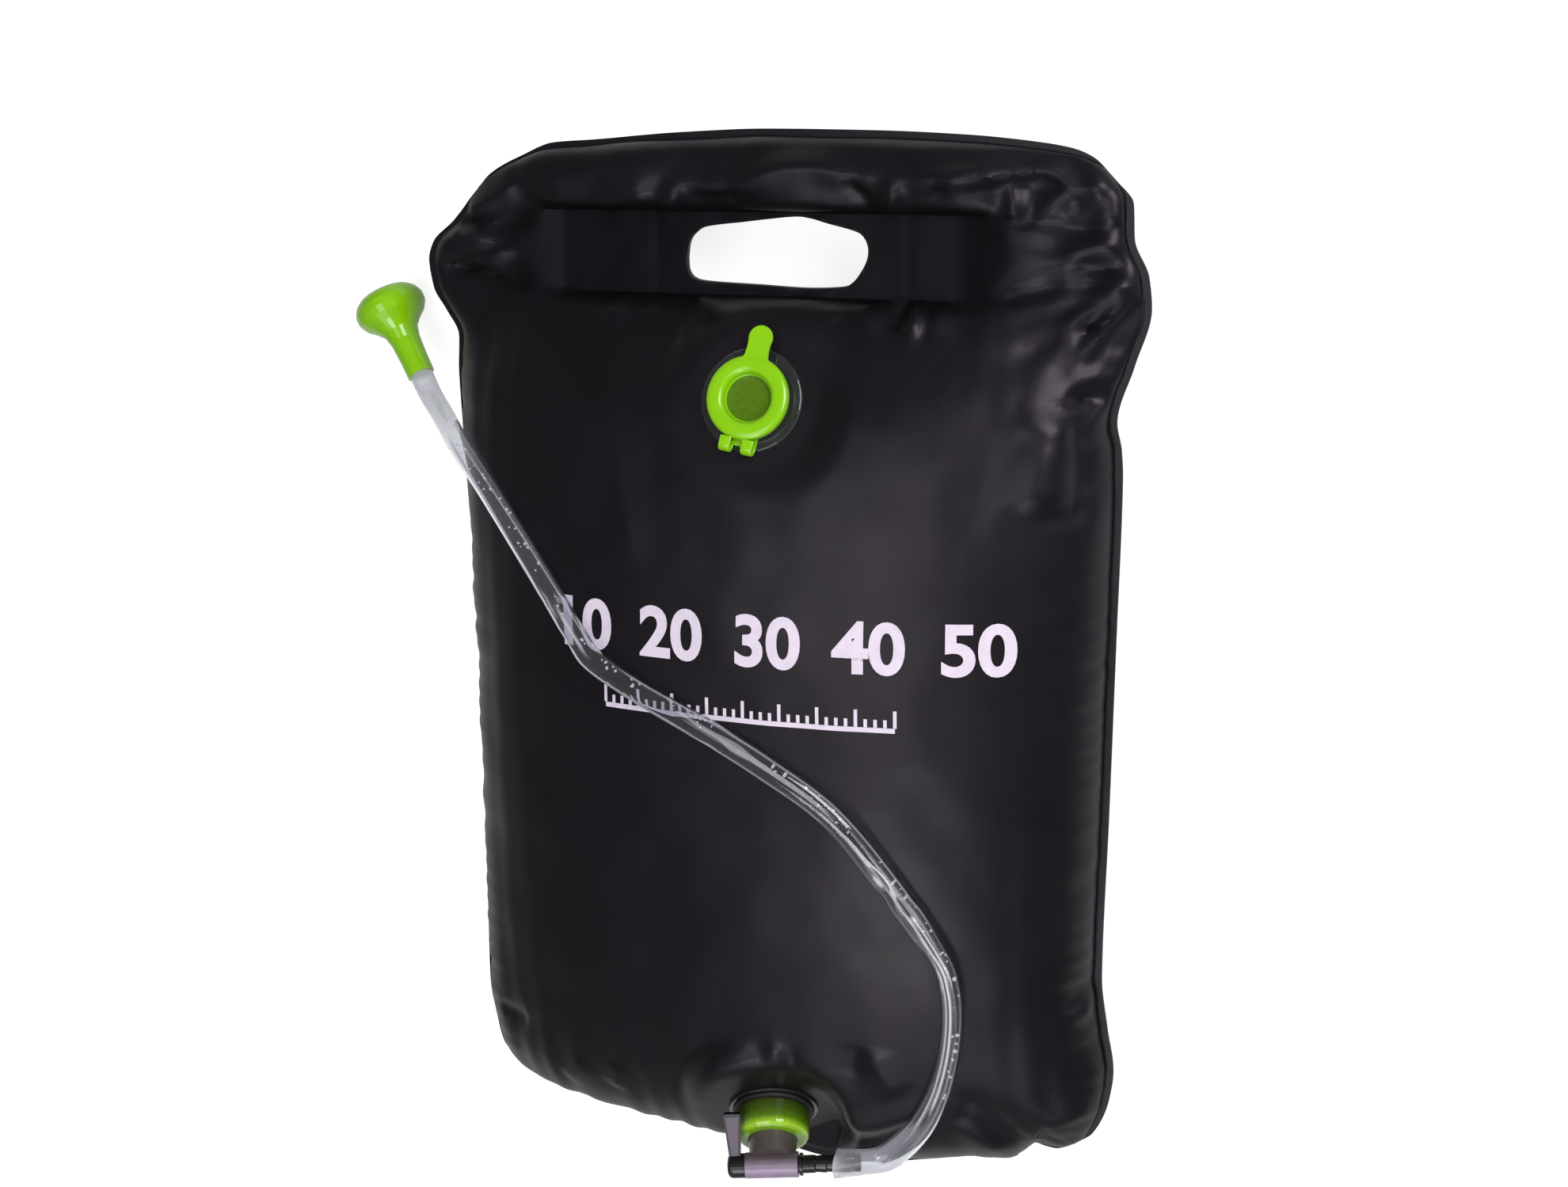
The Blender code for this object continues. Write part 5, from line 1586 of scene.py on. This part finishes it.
def printedMesh(name, built, values):
    # Cuts flat shapes fine enough to bend, then lays them on the bag's skin.
    bmesh.ops.triangulate(built, faces=built.faces)
    for turn in range(values["cutTurns"]):
        long = [e for e in built.edges if e.calc_length() > values["detail"]]
        if not long:
            break
        bmesh.ops.subdivide_edges(built, edges=long, cuts=1)
        bmesh.ops.triangulate(built, faces=built.faces)
    for vert in built.verts:
        place, normal, _, _ = skinTree.ray_cast(Vector((vert.co.x, vert.co.y, values["above"])),
                                                Vector((0, 0, -1)))
        vert.co = place + normal * values["proud"]
    bmesh.ops.recalc_face_normals(built, faces=built.faces)
    for face in built.faces:
        if face.normal.z < 0:
            face.normal_flip()
    return newObject(name, finishMesh(bpy.data.meshes.new(name), built), ink, "bag")


def addBar(built, x0, x1, y0, y1):
    built.faces.new([built.verts.new((x, y, 0)) for x, y in ((x0, y0), (x1, y0), (x1, y1),
                                                             (x0, y1))])


def printNumber(text, x, y, values):
    curve = bpy.data.curves.new("number" + text, "FONT")
    curve.body = text
    curve.align_x = "CENTER"
    curve.size = values["numberHeight"] * values["sizePerHeight"]
    curve.offset = values["numberWeight"]
    curve.resolution_u = values["curveSteps"]
    made = addObject("number" + text, curve)
    bpy.context.view_layer.update()
    shaped = made.evaluated_get(bpy.context.evaluated_depsgraph_get())
    flat = bpy.data.meshes.new_from_object(shaped)
    flat.transform(Matrix.Translation((x, y, 0)))
    bpy.data.objects.remove(made, do_unlink=True)
    built = bmesh.new()
    built.from_mesh(flat)
    bpy.data.meshes.remove(flat)
    printedMesh("printedNumber" + text, built, values)


def makePrint(values):
    for i, text in enumerate(values["numbers"]):
        printNumber(text, values["firstX"] + values["pitch"] * i,
                    values["numberY"] - values["numberHeight"] / 2, values)
    left, right, y, half = (values["barLeft"], values["barRight"], values["barY"],
                            values["barWidth"] / 2)
    built = bmesh.new()
    addBar(built, left, right, y - half, y + half)
    long, short = values["tickShares"]
    for i in range(values["ticks"] + 1):
        x = left + (right - left) * i / values["ticks"]
        tall = values["tickHeight"] * (long if i % values["ticksEach"] == 0 else short)
        addBar(built, x - values["tickWidth"] / 2, x + values["tickWidth"] / 2,
               y + half + values["tickGap"], y + tall)
    printedMesh("printedScale", built, values)


makePrint(printValues)
print("print laid on the bag")


# Finishes of the moulded pieces that keep their solid shape

for nodeName, finish in (
    ("filler_neck", lime), ("outlet_spout", clearDisc), ("tap_gasket", rubber),
    ("tap_nut", nutLimePaintedLight), ("spindle_seal_left", rubber), ("spindle_seal_right", rubber),
    ("spindle_clip", blackPlastic), ("shower_head", lime), ("rose_plate", lime),
):
    paintNode(nodeName, finish)

tapValues = {
    "barrelLow": 27.5 * mm,
    "leverLean": math.radians(40),
    "leverRoot": 6 * mm,            # from the barrel's axis toward the lever's tip
    "leverSide": -15 * mm,
    # least share of a face's normal that points up from the lever or the disc
    "leverFacing": 0.8,
    "discFacing": 0.5,
}


def inSeat(node, seat):
    # The turn from a node's own points to the frame of the valve's seat.
    bpy.context.view_layer.update()
    return seat.matrix.inverted() @ node.matrix_world


def paintParts(name, seat, finishes, choose):
    # Each face takes the finish that choose picks from its middle and normal in the seat's frame.
    node = paintNode(name, *finishes)
    turn = inSeat(node, seat)
    for face in node.data.polygons:
        face.material_index = choose(turn @ face.center, turn.to_3x3() @ face.normal)


def isRim(place, normal):
    return int(abs(normal.z) < tapValues["discFacing"])


def isBarrel(place, normal):
    return int(place.z > tapValues["barrelLow"])


def alongLever(place):
    # Distance from the barrel's axis toward the lever's tip.
    lean = tapValues["leverLean"]
    return place.y * math.cos(lean) - (place.z - hoseValues["barrelHeight"]) * math.sin(lean)


def onLever(place):
    return alongLever(place) > tapValues["leverRoot"] and place.x < tapValues["leverSide"]


def isLeverFace(place, normal):
    lean = tapValues["leverLean"]
    facing = normal.y * math.sin(lean) + normal.z * math.cos(lean)
    return int(facing > tapValues["leverFacing"] and onLever(place))


def placesInSeat(node, seat):
    turn = inSeat(node, seat)
    return [turn @ vertex.co for vertex in node.data.vertices]


def storeRise(name, seat):
    # Each point's height above the sheet in mm, for a material that goes by it.
    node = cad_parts[name]
    storeField(node.data, "rise", [p.z / mm for p in placesInSeat(node, seat)])


def storeLever(name, seat):
    # Each point's share of the lever's half width and of its length.
    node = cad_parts[name]
    places = placesInSeat(node, seat)
    across = [p.x for p in places if onLever(p)]
    low, high = min(across), max(across)
    reach = max(alongLever(p) for p in places if onLever(p))
    storeField(node.data, "leverSide", [(2 * p.x - low - high) / (high - low) for p in places])
    storeField(node.data, "leverAlong", [alongLever(p) / reach for p in places])


paintParts("filler_flange", fillerSeat, (clearDisc, clearRim), isRim)
paintParts("outlet_flange", outletSeat, (outletDisc, outletRim), isRim)
paintParts("tap_body", outletSeat, (milkyNeck, milkyBarrelShaded), isBarrel)
paintParts("tap_spindle", outletSeat, (blackPlastic, leverSheenBlack), isLeverFace)
storeRise("tap_nut", outletSeat)
storeRise("tap_body", outletSeat)
storeLever("tap_spindle", outletSeat)
print("finishes laid on the moulded pieces")


# Floor, world and lamps

stageValues = {
    "floorHalf": 4.0,
    "floorDrop": 0.2 * mm,
    "floorColour": "#c0c0c0",
    "floorGlow": 0.82,
    "white": "#ffffff",
    "world": "#c9c9cf",
    "worldStrength": 0.27,
    "mirroredGlow": 0.5,            # how much of the floor's glow glossy rays see
    "refractedGlow": 0.1,           # how much of the white world the rays through clear pieces see
    "aim": (0, -0.02, 0.05),
    # place, size across and along, power in watts, colour
    "lamps": (
        ((-0.06, 0.00, 1.60), (0.80, 0.80), 5.5, "#fffaff"),
        ((0.16, -1.08, 1.20), (1.05, 0.95), 4.0, "#fffaff"),
        ((0.13, -0.80, 1.40), (0.42, 0.42), 3.2, "#fffdff"),
        ((1.00, 0.84, 1.10), (0.9, 0.9), 19, "#fffcff"),
    ),
}


def makeFloor(values):
    # White to the camera and through clear pieces, and half as bright in reflections.
    half = values["floorHalf"]
    mesh = bpy.data.meshes.new("floor")
    mesh.from_pydata([(-half, -half, 0), (half, -half, 0), (half, half, 0), (-half, half, 0)], [],
                     [(0, 1, 2, 3)])
    floor = addObject("floor", mesh)
    floor.location.z = -values["floorDrop"]
    made, tree = newMaterial("paleStudioFloor")
    path = addNode(tree, "ShaderNodeLightPath")
    mirrored = addNode(tree, "ShaderNodeMath", {
        0: path.outputs["Is Glossy Ray"], 1: values["mirroredGlow"]}, operation="MULTIPLY")
    seen = mirrored
    for ray in ("Is Camera Ray", "Is Transmission Ray"):
        seen = addNode(tree, "ShaderNodeMath", {0: seen.outputs[0], 1: path.outputs[ray]},
                       operation="MAXIMUM")
    strength = addNode(tree, "ShaderNodeMath", {0: seen.outputs[0], 1: values["floorGlow"]},
                       operation="MULTIPLY")
    matt = addNode(tree, "ShaderNodeBsdfDiffuse", {"Color": linearColour(values["floorColour"])})
    glow = addNode(tree, "ShaderNodeEmission", {
        "Color": linearColour(values["white"]), "Strength": strength.outputs[0]})
    finishMaterial(tree, addNode(tree, "ShaderNodeAddShader", {0: matt.outputs[0],
                                                               1: glow.outputs[0]}))
    mesh.materials.append(made)


def makeWorld(values):
    world = bpy.data.worlds.new("studio")
    scene.world = world
    world.use_nodes = True
    tree = world.node_tree
    tree.nodes.clear()
    studio = addNode(tree, "ShaderNodeBackground", {
        "Color": linearColour(values["world"]), "Strength": values["worldStrength"]})
    backdrop = addNode(tree, "ShaderNodeBackground", {
        "Color": linearColour(values["white"]), "Strength": 1.0})
    path = addNode(tree, "ShaderNodeLightPath")
    through = addNode(tree, "ShaderNodeMath", {
        0: path.outputs["Is Transmission Ray"], 1: values["refractedGlow"]}, operation="MULTIPLY")
    either = addNode(tree, "ShaderNodeMath", {
        0: path.outputs["Is Camera Ray"], 1: through.outputs[0]}, operation="MAXIMUM")
    mixed = addNode(tree, "ShaderNodeMixShader", {
        0: either.outputs[0], 1: studio.outputs[0], 2: backdrop.outputs[0]})
    addNode(tree, "ShaderNodeOutputWorld", {"Surface": mixed.outputs[0]})


def makeLamps(values):
    for i, (place, size, power, colour) in enumerate(values["lamps"]):
        data = bpy.data.lights.new("softLamp" + str(i + 1), "AREA")
        data.shape = "RECTANGLE"
        data.size, data.size_y = size
        data.energy = power
        data.color = linearColour(colour)[:3]
        lamp = addObject(data.name, data)
        lamp.location = place
        toward = Vector(values["aim"]) - Vector(place)
        lamp.rotation_euler = toward.to_track_quat("-Z", "Y").to_euler()


makeFloor(stageValues)
makeWorld(stageValues)
makeLamps(stageValues)
print("stage lit")
